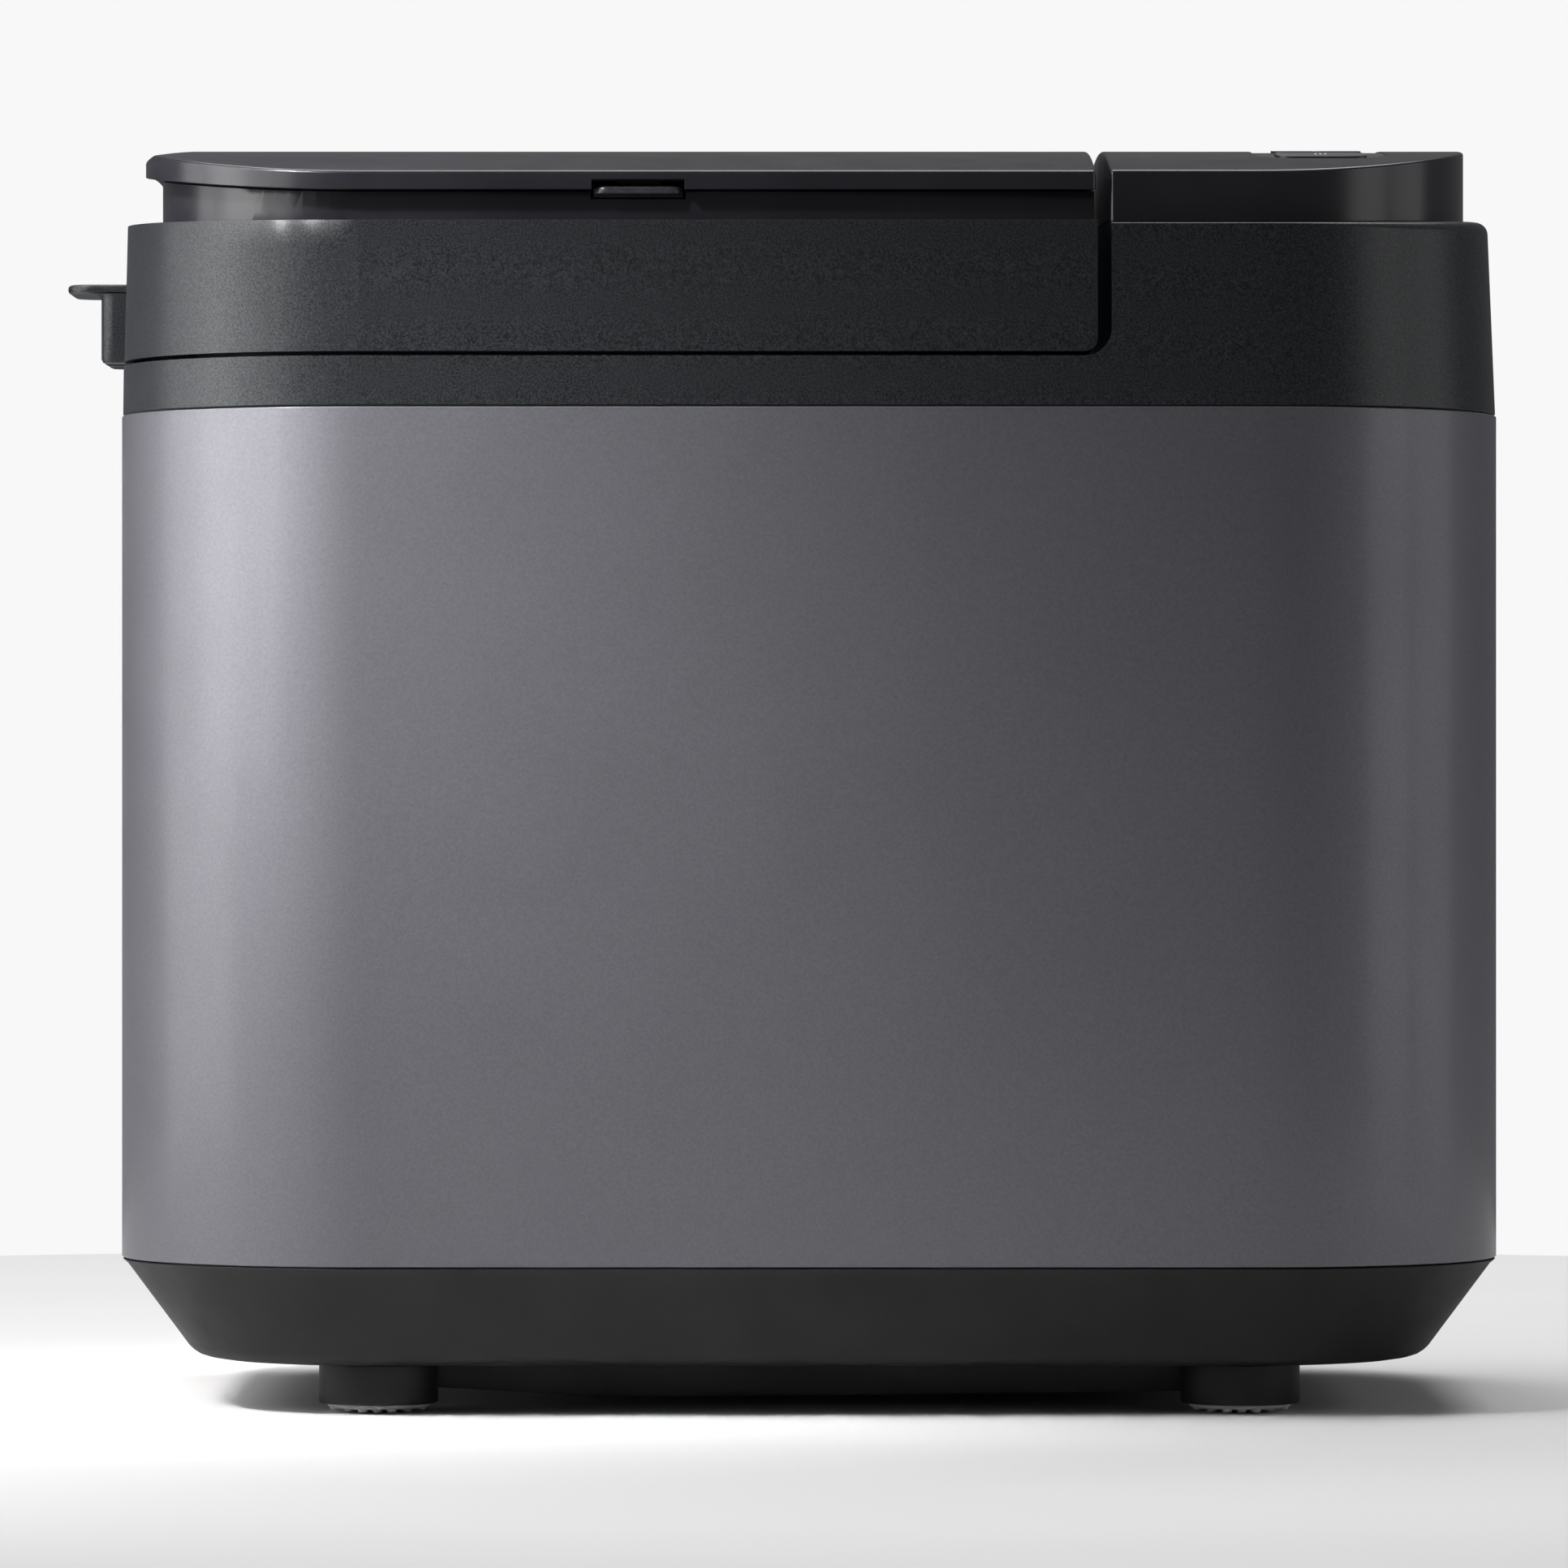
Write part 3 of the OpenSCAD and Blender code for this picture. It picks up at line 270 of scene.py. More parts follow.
def block(low, high):
    """Vertices and faces of a rectangular bar or cutter."""
    verts = [(x, y, z)
             for x in (low[0], high[0]) for y in (low[1], high[1]) for z in (low[2], high[2])]
    faces = [(0, 1, 3, 2), (4, 6, 7, 5), (0, 4, 5, 1), (2, 3, 7, 6), (0, 2, 6, 4), (1, 5, 7, 3)]
    return verts, faces


def prism(profile, y0, y1):
    """Vertices and faces of a cutter whose (x, z) profile runs from y0 to y1."""
    n = len(profile)
    verts = [(x, y, z) for y in (y0, y1) for x, z in profile]
    faces = [tuple(range(n)), tuple(reversed(range(n, 2 * n)))]
    faces += [(i, (i + 1) % n, n + (i + 1) % n, n + i) for i in range(n)]
    return verts, faces


def cut(obj, cutter):
    """Takes a closed cutter, given as vertices and faces, away from obj."""
    mesh = bpy.data.meshes.new("cutter")
    mesh.from_pydata([Vector(v) * MM for v in cutter[0]], [], cutter[1])
    bm = bmesh.new()
    bm.from_mesh(mesh)
    bmesh.ops.remove_doubles(bm, verts=bm.verts, dist=1e-7)
    bmesh.ops.recalc_face_normals(bm, faces=bm.faces)
    bm.to_mesh(mesh)
    bm.free()
    tool = bpy.data.objects.new("cutter", mesh)
    bpy.context.scene.collection.objects.link(tool)
    modifier = obj.modifiers.new("cut", "BOOLEAN")
    modifier.operation = "DIFFERENCE"
    modifier.solver = "EXACT"
    modifier.object = tool
    bpy.context.view_layer.update()
    evaluated = obj.evaluated_get(bpy.context.evaluated_depsgraph_get())
    result = bpy.data.meshes.new_from_object(evaluated)
    obj.modifiers.remove(modifier)
    obj.data = result
    bpy.data.objects.remove(tool)
    shade(obj)
    return obj


# ---------------------------------------------------------------------------------------------
# Materials
# ---------------------------------------------------------------------------------------------
def linear(code):
    """Scene-linear colour of a six-digit hexadecimal colour."""
    out = []
    for i in (0, 2, 4):
        c = int(code[i:i + 2], 16) / 255
        out.append(c / 12.92 if c <= 0.04045 else ((c + 0.055) / 1.055) ** 2.4)
    return (*out, 1.0)


class Finish:
    """A node material under construction."""

    def __init__(self, slot, rough, metal=0.0, **constants):
        self.material = bpy.data.materials.new(slot + "_look")
        self.material.use_nodes = True
        self.material["slot"] = slot
        self.tree = self.material.node_tree
        self.shader = self.tree.nodes["Principled BSDF"]
        self.set("Roughness", rough)
        self.set("Metallic", metal)
        for key, value in constants.items():
            self.set(key.replace("_", " ").title().replace("Ior", "IOR"), value)
        self.coords = self.tree.nodes.new("ShaderNodeTexCoord").outputs["Object"]

    def set(self, socket, value):
        self.shader.inputs[socket].default_value = value

    def link(self, output, socket):
        self.tree.links.new(output, socket)

    def stretched(self, scale):
        """Object coordinates stretched by scale."""
        node = self.tree.nodes.new("ShaderNodeMapping")
        node.inputs["Scale"].default_value = scale
        self.link(self.coords, node.inputs["Vector"])
        return node.outputs["Vector"]

    def noise(self, scale, detail=3.0, stretch=None):
        node = self.tree.nodes.new("ShaderNodeTexNoise")
        node.inputs["Scale"].default_value = scale
        node.inputs["Detail"].default_value = detail
        node.inputs["Roughness"].default_value = 0.55
        self.link(self.stretched(stretch) if stretch else self.coords, node.inputs["Vector"])
        return node.outputs["Fac"]

    def cells(self, scale):
        node = self.tree.nodes.new("ShaderNodeTexVoronoi")
        node.inputs["Scale"].default_value = scale
        self.link(self.coords, node.inputs["Vector"])
        return node.outputs["Distance"]

    def spread(self, value, low, high, start=0.3, end=0.7):
        """Maps value from start..end to low..high."""
        node = self.tree.nodes.new("ShaderNodeMapRange")
        node.inputs["From Min"].default_value = start
        node.inputs["From Max"].default_value = end
        node.inputs["To Min"].default_value = low
        node.inputs["To Max"].default_value = high
        self.link(value, node.inputs["Value"])
        return node.outputs["Result"]

    def two_tone(self, value, first, second, start=0.3, end=0.7):
        """Colour between two tones, laid out by value."""
        node = self.tree.nodes.new("ShaderNodeValToRGB")
        node.color_ramp.elements[0].position = start
        node.color_ramp.elements[0].color = linear(first)
        node.color_ramp.elements[1].position = end
        node.color_ramp.elements[1].color = linear(second)
        self.link(value, node.inputs["Fac"])
        return node.outputs["Color"]

    def specks(self, colour, speck):
        """Fine bright specks over a colour."""
        mask = self.spread(self.noise(1500.0, 1.0), 0.0, 1.0, 0.61, 0.8)
        node = self.tree.nodes.new("ShaderNodeMix")
        node.data_type = "RGBA"
        self.link(mask, node.inputs["Factor"])
        self.link(colour, node.inputs[6])
        node.inputs[7].default_value = linear(speck)
        return node.outputs[2]

    def paint(self, colour):
        self.link(colour, self.shader.inputs["Base Color"])

    def vary_roughness(self, value, low, high):
        self.link(self.spread(value, low, high), self.shader.inputs["Roughness"])

    def bump(self, height, depth, strength):
        """Relief of depth millimetres."""
        node = self.tree.nodes.new("ShaderNodeBump")
        node.inputs["Strength"].default_value = strength
        node.inputs["Distance"].default_value = depth * MM
        self.link(height, node.inputs["Height"])
        self.link(node.outputs["Normal"], self.shader.inputs["Normal"])


def plastic(slot, tones, rough, grain, depth, **constants):
    """Moulded plastic: fine spark-eroded grain, faint flow marks and handling wear."""
    f = Finish(slot, sum(rough) / 2, **constants)
    f.paint(f.two_tone(f.noise(35.0, 2.0), *tones))
    f.vary_roughness(f.noise(60.0, 4.0), *rough)
    f.bump(f.noise(grain, 2.0), depth, 0.6)
    return f.material


def speckled(slot, tones, rough, **constants):
    """Satin plastic with a dense, fine metallic fleck in it."""
    f = Finish(slot, sum(rough) / 2, **constants)
    f.paint(f.two_tone(f.noise(2000.0, 3.0), *tones, 0.38, 0.66))
    f.vary_roughness(f.noise(1300.0, 2.0), *rough)
    f.bump(f.noise(1700.0, 2.0), 0.03, 0.6)
    return f.material


def satin(slot, tones, rough, **constants):
    """Satin metallic sheet with a very fine, even grain."""
    f = Finish(slot, sum(rough) / 2, metal=1.0, **constants)
    f.paint(f.two_tone(f.noise(1400.0, 2.0), *tones))
    f.vary_roughness(f.noise(25.0, 3.0), *rough)
    f.bump(f.noise(1900.0, 2.0), 0.012, 0.4)
    return f.material


def brushed(slot, tones, rough, along):
    """Brushed sheet metal: fine lines along one direction, and a few longer, deeper ones."""
    fine = {"y": (700, 6, 700), "round": (9, 9, 1500)}[along]
    long = {"y": (160, 2, 160), "round": (3, 3, 330)}[along]
    f = Finish(slot, sum(rough) / 2, metal=1.0)
    lines = f.noise(1.0, 3.0, fine)
    f.paint(f.two_tone(f.noise(1.0, 2.0, long), *tones))
    f.vary_roughness(lines, *rough)
    f.bump(lines, 0.006, 0.5)
    return f.material


def metal(slot, tones, rough, grain=400.0, depth=0.01):
    """Plain worked metal with slight staining and rolled or cast texture."""
    f = Finish(slot, sum(rough) / 2, metal=1.0)
    f.paint(f.two_tone(f.noise(45.0, 4.0), *tones))
    f.vary_roughness(f.noise(140.0, 4.0), *rough)
    f.bump(f.noise(grain, 3.0), depth, 0.5)
    return f.material


def rubber(slot, tones):
    """Soft moulded rubber or silicone with a fine matt bloom."""
    f = Finish(slot, 0.7)
    f.paint(f.two_tone(f.noise(220.0, 4.0), *tones))
    f.vary_roughness(f.noise(300.0, 3.0), 0.6, 0.8)
    f.bump(f.noise(1800.0, 2.0), 0.03, 0.6)
    return f.material


def coated(slot, tones, speck):
    """Non-stick coating with fine pale specks over cast aluminium."""
    f = Finish(slot, 0.38, specular_ior_level=0.55)
    f.paint(f.specks(f.two_tone(f.noise(70.0, 3.0), *tones), speck))
    f.vary_roughness(f.noise(160.0, 4.0), 0.32, 0.46)
    f.bump(f.noise(900.0, 3.0), 0.03, 0.6)
    return f.material


def circuit(slot):
    """Circuit-board laminate with paler copper areas under the solder mask."""
    f = Finish(slot, 0.35)
    f.paint(f.two_tone(f.cells(160.0), "1c4a2c", "2f7a48", 0.25, 0.32))
    f.bump(f.noise(1500.0, 2.0), 0.01, 0.5)
    return f.material


def make_finishes():
    """One look for each material slot of the record."""
    looks = [
        satin("wrap_steel", ("656469", "6d6c72"), (0.6, 0.66), coat_weight=0.4, coat_roughness=0.2),
        plastic("base_plastic", ("101011", "151517"), (0.5, 0.62), 1500.0, 0.04,
                specular_ior_level=0.25),
        plastic("cover_plastic", ("040406", "070709"), (0.5, 0.6), 1200.0, 0.04),
        speckled("frame_plastic", ("101113", "303336"), (0.3, 0.38), specular_ior_level=0.32),
        plastic("gloss_black", ("1e1d22", "242328"), (0.21, 0.27), 500.0, 0.004,
                specular_ior_level=0.45),
        plastic("strip_plastic", ("1b1b1f", "222226"), (0.28, 0.36), 1800.0, 0.015),
        plastic("window_glass", ("202624", "262d2a"), (0.05, 0.09), 300.0, 0.002, coat_weight=0.6),
        plastic("lcd_face", ("7f8a78", "8a9582"), (0.3, 0.4), 900.0, 0.004),
        plastic("button_plastic", ("2a2a2e", "323237"), (0.34, 0.44), 2000.0, 0.02),
        plastic("start_plastic", ("4a4a50", "55555c"), (0.32, 0.42), 2000.0, 0.02),
        circuit("board_laminate"),
        rubber("pad_rubber", ("b4b4b8", "c6c6ca")),
        rubber("bush_rubber", ("131314", "1b1b1d")),
        metal("zinc_steel", ("8f9295", "a6a9ac"), (0.28, 0.42)),
        brushed("oven_steel", ("9ea1a3", "b4b7b9"), (0.26, 0.4), "round"),
        metal("heater_alloy", ("2e2d2e", "4a4644"), (0.45, 0.6), 600.0, 0.03),
        metal("sensor_brass", ("b8934a", "caa65c"), (0.25, 0.36)),
        metal("cast_aluminium", ("7c8083", "8d9194"), (0.42, 0.56), 500.0, 0.06),
        metal("shaft_steel", ("b6b9bc", "c8cbce"), (0.16, 0.26), 300.0, 0.004),
        metal("coupler_steel", ("65686b", "787b7e"), (0.36, 0.48), 500.0, 0.03),
        plastic("pulley_plastic", ("333336", "3c3c40"), (0.4, 0.52), 1200.0, 0.03),
        metal("pinion_brass", ("a8873f", "b99850"), (0.28, 0.4)),
        rubber("belt_rubber", ("161617", "202022")),
        metal("motor_steel", ("66696c", "7b7e81"), (0.34, 0.5), 350.0, 0.03),
        plastic("fan_plastic", ("26262a", "303034"), (0.4, 0.5), 1200.0, 0.03),
        coated("pan_coating", ("37373b", "434348"), "8c8c90"),
        metal("bush_bronze", ("93764a", "a5875a"), (0.36, 0.5)),
        metal("handle_steel", ("b2b5b8", "c6c9cc"), (0.2, 0.3), 350.0, 0.006),
        brushed("liner_steel", ("a4a7a9", "b9bcbe"), (0.24, 0.38), "y"),
        rubber("gasket_silicone", ("333336", "414145")),
        rubber("seal_silicone", ("5e5e63", "6d6d72")),
        plastic("tray_plastic", ("c9c9cb", "d6d6d8"), (0.3, 0.42), 1500.0, 0.02),
        plastic("flap_plastic", ("b9b9bd", "c6c6ca"), (0.34, 0.46), 1500.0, 0.02),
        metal("solenoid_coil", ("6d5c34", "84713f"), (0.4, 0.55), 900.0, 0.05),
        plastic("catch_plastic", ("2c2c30", "36363a"), (0.22, 0.32), 1500.0, 0.01),
    ]
    return {look["slot"]: look for look in looks}


def dress_nodes():
    """Gives every carried-over CAD node the look of its material slot."""
    for name, obj in NODES.items():
        for material_slot in obj.material_slots:
            material_slot.material = FINISHES[SLOT_OF[name]]


# ---------------------------------------------------------------------------------------------
# Body and base
# ---------------------------------------------------------------------------------------------
def crown(depth=0.0, radius=CROWN_R, crest=CREST_Z):
    """Height at (x, y) of the surface depth below the crowned tops."""
    return lambda x, y: crest - radius + math.sqrt((radius - depth) ** 2 - y * y)


def make_wrap():
    """Sheet sleeve with softly turned edges and a round hole for the mains inlet."""
    low, high = box_mm("outer_wrap")
    sheet = 0.8
    hem = 0.38
    profile = fillet((0, low.z), (hem, low.z), (0, low.z + hem))
    profile += fillet((0, high.z), (0, high.z - hem), (hem, high.z))
    profile += [(sheet, high.z - 0.1), (sheet, low.z + 0.1)]
    loops = [at_height(plan(low.x, high.x, high.y, BODY_R, BODY_R, i), z) for i, z in profile]
    wrap = new_piece("wrap_fine", *loft(loops, closed=True),
                     FINISHES["wrap_steel"], "housing", ("outer_wrap",))
    inlet_low, inlet_high = box_mm("cord_inlet")
    centre = (inlet_low + inlet_high) / 2
    verts, faces = lathe([(0.0, -6), (7.0, -6), (7.0, 6), (0.0, 6)], (0, 0))
    turned = [(low.x + z, centre.y + x, centre.z + y) for x, y, z in verts]
    return cut(wrap, (turned, faces))


def make_base():
    """Draws in below the wrap to a soft lower edge, with a round post over each foot."""
    low, high = box_mm("outer_wrap")
    joint = [(3.2, low.z - 0.3), (0.6, low.z - 0.3), (0.3, low.z - 0.6), (1.6, 41.0)]
    lower_edge = [(19.0, 17.6), (20.4, 16.3), (22.0, 15.3), (24.2, 14.6), (28.0, 14.0), (33.0, 13.6)]
    inside = [(48.0, 13.5), (48.0, 15.5), (30.0, 15.9), (22.0, 19.6), (4.2, 41.0)]
    loops = [at_height(plan(low.x, high.x, high.y, BODY_R, BODY_R, i), z)
             for i, z in joint + lower_edge + inside]
    post = [(0.0, 13.6), (16.75, 13.6), (16.75, 3.2), (16.55, 2.75), (16.1, 2.6), (14.9, 2.6),
            (14.9, 5.0), (0.0, 5.0)]
    parts = [loft(loops, closed=True)] + [lathe(post, centre) for centre in foot_centres()]
    return new_piece("base_fine", *merged(parts), FINISHES["base_plastic"], "housing", ("base_shell",))


def make_top_frame():
    """Drafted frame with a soft shoulder at the panel end, cut open for the lid and the oven."""
    low, high = box_mm("top_frame")
    lid_low = box_mm("lid_shell")[0]
    panel_x = box_mm("panel_block")[0].x
    pan_low, pan_high = box_mm("bread_pan")
    base_z = box_mm("outer_wrap")[1].z
    corner = BODY_R - 0.3
    level = crown(0.0, FRAME_R, high.z)
    base = plan(low.x, high.x, high.y, corner, corner)
    drawn_in = plan(low.x, high.x, high.y, corner, corner, 1.0)
    inward = [b - a for a, b in zip(base, drawn_in)]
    lean = [1.4 + 0.7 * max(0.0, -d.x) - 0.7 * max(0.0, d.x) for d in inward]
    shoulder = [0.6 + 2.8 * min(1.0, max(0.0, -d.x - 0.08) / 0.6) ** 1.5 for d in inward]

    def side_ring(inset, z):
        return [(p + d * inset).to_3d() + Vector((0, 0, z)) for p, d in zip(base, inward)]

    def shoulder_ring(angle):
        ring = []
        for p, d, t, r in zip(base, inward, lean, shoulder):
            q = p + d * (t + r * (1 - math.cos(angle)))
            ring.append(Vector((q.x, q.y, level(q.x, q.y) - r * (1 - math.sin(angle)))))
        return ring

    loops = [side_ring(4.0, base_z + 0.4), side_ring(0.5, base_z + 0.05), side_ring(0.0, base_z + 0.6)]
    loops += [shoulder_ring(math.radians(15 * k)) for k in range(7)]
    top = [v.to_2d() for v in loops[-1]]
    loops += [at_height(points, level) for points in shrink(top, 16, (panel_x + 50, 0))]
    frame_piece = new_piece("top_frame_fine", *loft(loops, fill_first=True, fill_last=True),
                            FINISHES["frame_plastic"], "housing", ("top_frame",))
    deck_z = lid_low.z - 1.2
    r = 7.5
    room = [(-FAR, deck_z), (panel_x - r, deck_z)]
    room += [(panel_x - r + r * math.sin(a), deck_z + r - r * math.cos(a))
             for a in (math.pi / 2 * k / 8 for k in range(1, 9))]
    room += [(panel_x, FAR), (-FAR, FAR)]
    cut(frame_piece, prism(room, -FAR, FAR))
    middle = (pan_low.x + pan_high.x) / 2
    mouth = plan(middle - MOUTH_HALF_L, middle + MOUTH_HALF_L, MOUTH_HALF_W, MOUTH_R, MOUTH_R)
    cut(frame_piece, loft([at_height(mouth, base_z - 10), at_height(mouth, deck_z + 5)],
                          fill_first=True, fill_last=True))
    return soften(frame_piece, 0.6)


def make_rear_tab():
    """Hinge block with round upright corners under a thin flat tab."""
    low, high = box_mm("rear_tab")
    inside = box_mm("lid_shell")[0].x + 1.2
    block_x = low.x + 9.8
    plate_z = high.z - 2.6
    rows = [
        (block_x + 1.6, -1.4, 2.4, low.z), (block_x + 0.5, -0.5, 3.4, low.z + 0.4),
        (block_x, 0.0, 4.0, low.z + 1.4), (block_x, 0.0, 4.0, plate_z - 1.8),
        (block_x - 0.3, 0.0, 4.2, plate_z - 0.8), (block_x - 1.2, 0.0, 4.6, plate_z),
        (low.x + 0.9, -0.8, 6.2, plate_z + 0.05), (low.x + 0.25, -0.2, 6.7, plate_z + 0.4),
        (low.x, 0.0, 7.0, plate_z + 1.1), (low.x, 0.0, 7.0, plate_z + 1.6),
        (low.x + 0.25, -0.2, 6.7, high.z - 0.35), (low.x + 0.9, -0.8, 6.2, high.z),
    ]
    loops = [at_height(plan(x0, inside, high.y + grown, r, 0.3), z) for x0, grown, r, z in rows]
    tab = new_piece("rear_tab_fine", *loft(loops, fill_first=True, fill_last=True),
                    FINISHES["frame_plastic"], "lid", ("rear_tab",))
    pins_low, pins_high = box_mm("lid_hinge_pins")
    axis = (pins_low + pins_high) / 2
    half_pin = 7.0
    half_slot = 4.5
    for y in (pins_low.y + half_pin, pins_high.y - half_pin):
        cut(tab, block((axis.x - 10, y - half_slot, axis.z - 20),
                       (axis.x + 10, y + half_slot, axis.z + 5.5)))
    return soften(tab, 0.3)


def foot_centres():
    """Middle of each foot in plan."""
    low, high = box_mm("foot_pads")
    return [(x, y) for x in (low.x + FOOT_R, high.x - FOOT_R) for y in (low.y + FOOT_R, high.y - FOOT_R)]


def make_foot_pads():
    """Soft pads with a grid of round nubs that the machine stands on."""
    pitch = 4.0
    nub = 1.4
    pad = [(0.0, 5.0), (FOOT_R - 0.3, 5.0), (FOOT_R, 4.7), (FOOT_R, 1.9), (FOOT_R - 0.4, 1.5),
           (FOOT_R - 1.2, 1.3), (0.0, 1.3)]
    parts = []
    for x, y in foot_centres():
        parts.append(lathe(pad, (x, y)))
        for i in range(-3, 4):
            for j in range(-3, 4):
                out = math.hypot(i, j) * pitch
                if out < FOOT_R - nub:
                    tip = 0.7 if out > 10 else 0.0
                    knob = [(0.0, 2.0), (nub, 2.0), (nub, tip + 0.75), (nub * 0.86, tip + 0.3),
                            (nub * 0.55, tip + 0.05), (0.0, tip)]
                    parts.append(lathe(knob, (x + i * pitch, y + j * pitch), 16))
    return new_piece("foot_pads_fine", *merged(parts), FINISHES["pad_rubber"], "housing", ("foot_pads",))


# ---------------------------------------------------------------------------------------------
# Crowned tops
# ---------------------------------------------------------------------------------------------
def make_dispenser_lid():
    """Glossy crowned lid with a sloping rear end, a catch notch and slots for its hinge lugs."""
    low, high = box_mm("dispenser_lid")
    thick = 2.5
    edge = 0.8
    slope = math.tan(math.radians(20))
    drop = 5.0
    pared = 1.4
    rim = crown(0.0, RIM_R, CREST_Z - 7.97)

    def outline(inset):
        return plan(low.x, high.x, high.y, TOP_R, SEAM_R, inset)

    def ceiling(x, y):
        return min(crown(thick)(x, y), CREST_Z - drop - thick + (x - low.x) * slope)

    loops = [at_height(outline(thick), rim), at_height(outline(0.3), rim)]
    loops.append([v + Vector((0, 0, 0.3)) for v in at_height(outline(0.0), rim)])
    loops += [at_height(outline(i), crown(d)) for i, d in fillet((0, 0), (0, edge), (edge, 0))]
    centre = ((low.x + high.x) / 2, 0.0)
    loops += [at_height(points, crown(0.0)) for points in shrink(outline(edge), 26, centre)]
    under = [at_height(points, ceiling) for points in shrink(outline(thick), 26, centre)]
    under.insert(0, at_height(outline(thick), ceiling))
    lid = new_piece("dispenser_lid_fine", *loft(under[::-1] + loops, fill_first=True, fill_last=True),
                    FINISHES["gloss_black"], "dispenser_cover", ("dispenser_lid",))
    start = CREST_Z - drop - pared
    cut(lid, prism([(low.x - 10, start - 10 * slope), (low.x + 40, start + 40 * slope),
                    (low.x + 40, FAR), (low.x - 10, FAR)], -FAR, FAR))
    axis, lug_x = dispenser_hinge()
    for x in lug_x:
        cut(lid, block((x - 4.4, high.y - 5.5, axis.z - 10), (x + 4.4, high.y + 5.5, axis.z + 10)))
    catch_low, catch_high = box_mm("catch_slider")
    cut(lid, block((catch_low.x - 0.5, low.y - 4, catch_low.z),
                   (catch_high.x + 0.5, low.y + 4, axis.z + 0.4)))
    return soften(lid, 0.25)


def dispenser_hinge():
    """Middle of the hinge axis, and the middle of each knuckle along X."""
    low, high = box_mm("dispenser_hinge_pins")
    half_pin = 12.0
    return (low + high) / 2, (low.x + half_pin, high.x - half_pin)


def make_catch():
    """Finger tab with round corners, and the post and nose behind it."""
    low, high = box_mm("catch_slider")
    middle = (low.x + high.x) / 2
    tab_z = low.z + 0.5
    half_tab = 5.0
    tab_r = 3.8
    rows = [(0.5, tab_z), (0.0, tab_z + 0.4), (0.0, tab_z + 1.7), (0.25, tab_z + 2.1), (0.7, tab_z + 2.3)]
    loops = []
    for inset, z in rows:
        points = plan(low.x, high.x, half_tab, tab_r, tab_r, inset)
        loops.append([Vector((p.x, p.y + low.y + half_tab, z)) for p in points])
    tab = loft(loops, fill_first=True, fill_last=True)
    tongue = block((low.x, low.y + 5, low.z), (high.x, low.y + 17.8, low.z + 1.5))
    post = block((middle - 5, -100, low.z + 1.4), (middle + 5, -98, high.z))
    nose = block((middle - 5, -102.1, high.z - 1.6), (middle + 5, -99.9, high.z))
    catch = new_piece("catch_slider_fine", *merged([tab, tongue, post, nose]),
                      FINISHES["catch_plastic"], "catch", ("catch_slider",))
    return soften(catch, 0.2)


def make_lid_lugs():
    """The two pairs of knuckles that the hinge pins pass through."""
    axis, lug_x = dispenser_hinge()
    knuckle = [(0.0, -4), (2.2, -4), (2.4, -3.8), (2.4, 3.8), (2.2, 4), (0.0, 4)]
    parts = []
    for middle in [x + side * 8.6 for x in lug_x for side in (-1, 1)]:
        verts, faces = lathe(knuckle, (0, 0), 32)
        parts.append(([(middle + z, axis.y + x, axis.z + y) for x, y, z in verts], faces))
    return new_piece("lid_lugs", *merged(parts), FINISHES["gloss_black"], "dispenser_cover")


def make_keeper():
    """The lip under the lid that the catch holds."""
    low, high = box_mm("catch_slider")
    middle = (low.x + high.x) / 2
    lip = block((middle - 6, -104.5, 342.6), (middle + 6, -102.5, CREST_Z - 12.0))
    return soften(new_piece("lid_keeper", *lip, FINISHES["gloss_black"], "dispenser_cover"), 0.4)


def make_panel_block():
    """Glossy crowned block with a sunk bed for the control strip."""
    low, high = box_mm("panel_block")
    strip_low, strip_high = box_mm("panel_strip")
    edge = 0.8
    bed = 1.4
    mid_steps = 10

    def outline(inset):
        return plan(low.x, high.x, high.y, SEAM_R, TOP_R, inset)

    def bed_outline(inset):
        return plan(strip_low.x, strip_high.x, strip_high.y, 12.0, 12.0, inset)

    skirt = crown(0.0, FRAME_R, CREST_Z - 21.7)
    loops = [at_height(outline(3.0), skirt), at_height(outline(0.0), skirt)]
    loops += [at_height(outline(i), crown(d)) for i, d in fillet((0, 0), (0, edge), (edge, 0))]
    for k in range(1, mid_steps + 1):
        mixed = [a.lerp(b, k / mid_steps) for a, b in zip(outline(edge), bed_outline(-0.25))]
        loops.append(at_height(mixed, crown(0.0)))
    loops += [at_height(bed_outline(0.0), crown(0.25)), at_height(bed_outline(0.0), crown(bed))]
    centre = ((strip_low.x + strip_high.x) / 2, 0.0)
    loops += [at_height(points, crown(bed)) for points in shrink(bed_outline(0.0), 8, centre)]
    return new_piece("panel_block_fine", *loft(loops, fill_last=True),
                     FINISHES["gloss_black"], "housing", ("panel_block",))


# ---------------------------------------------------------------------------------------------
# Pieces that keep the CAD shape, with rounded edges
# ---------------------------------------------------------------------------------------------
EDGE_ROUNDS = {
    "lid_shell": 0.6, "dispenser_housing": 0.4, "bottom_cover": 0.8,
    "hinge_brackets": 0.4, "lid_gasket": 0.6, "dispenser_seals": 0.4,
    "oven_chamber": 0.4, "pan_seat": 0.6, "bread_pan": 0.5, "pan_base": 0.5, "kneading_blade": 0.9,
    "nut_tray": 0.5, "nut_flap": 0.4, "yeast_cup": 0.4, "yeast_shutter": 0.4,
    "panel_strip": 0.2, "lcd_window": 0.2,
    "button_menu": 0.4, "button_crust": 0.4, "button_timer_up": 0.4, "button_timer_down": 0.4,
    "button_start": 0.4, "button_stop": 0.4,
}


def make_refined():
    for node, width in EDGE_ROUNDS.items():
        refined(node, width)


# ---------------------------------------------------------------------------------------------
# Marks on the keys and the display, in (right, up) millimetres as the user sees them
# ---------------------------------------------------------------------------------------------
def bar(left, bottom, right, top):
    return [(left, bottom), (right, bottom), (right, top), (left, top)]


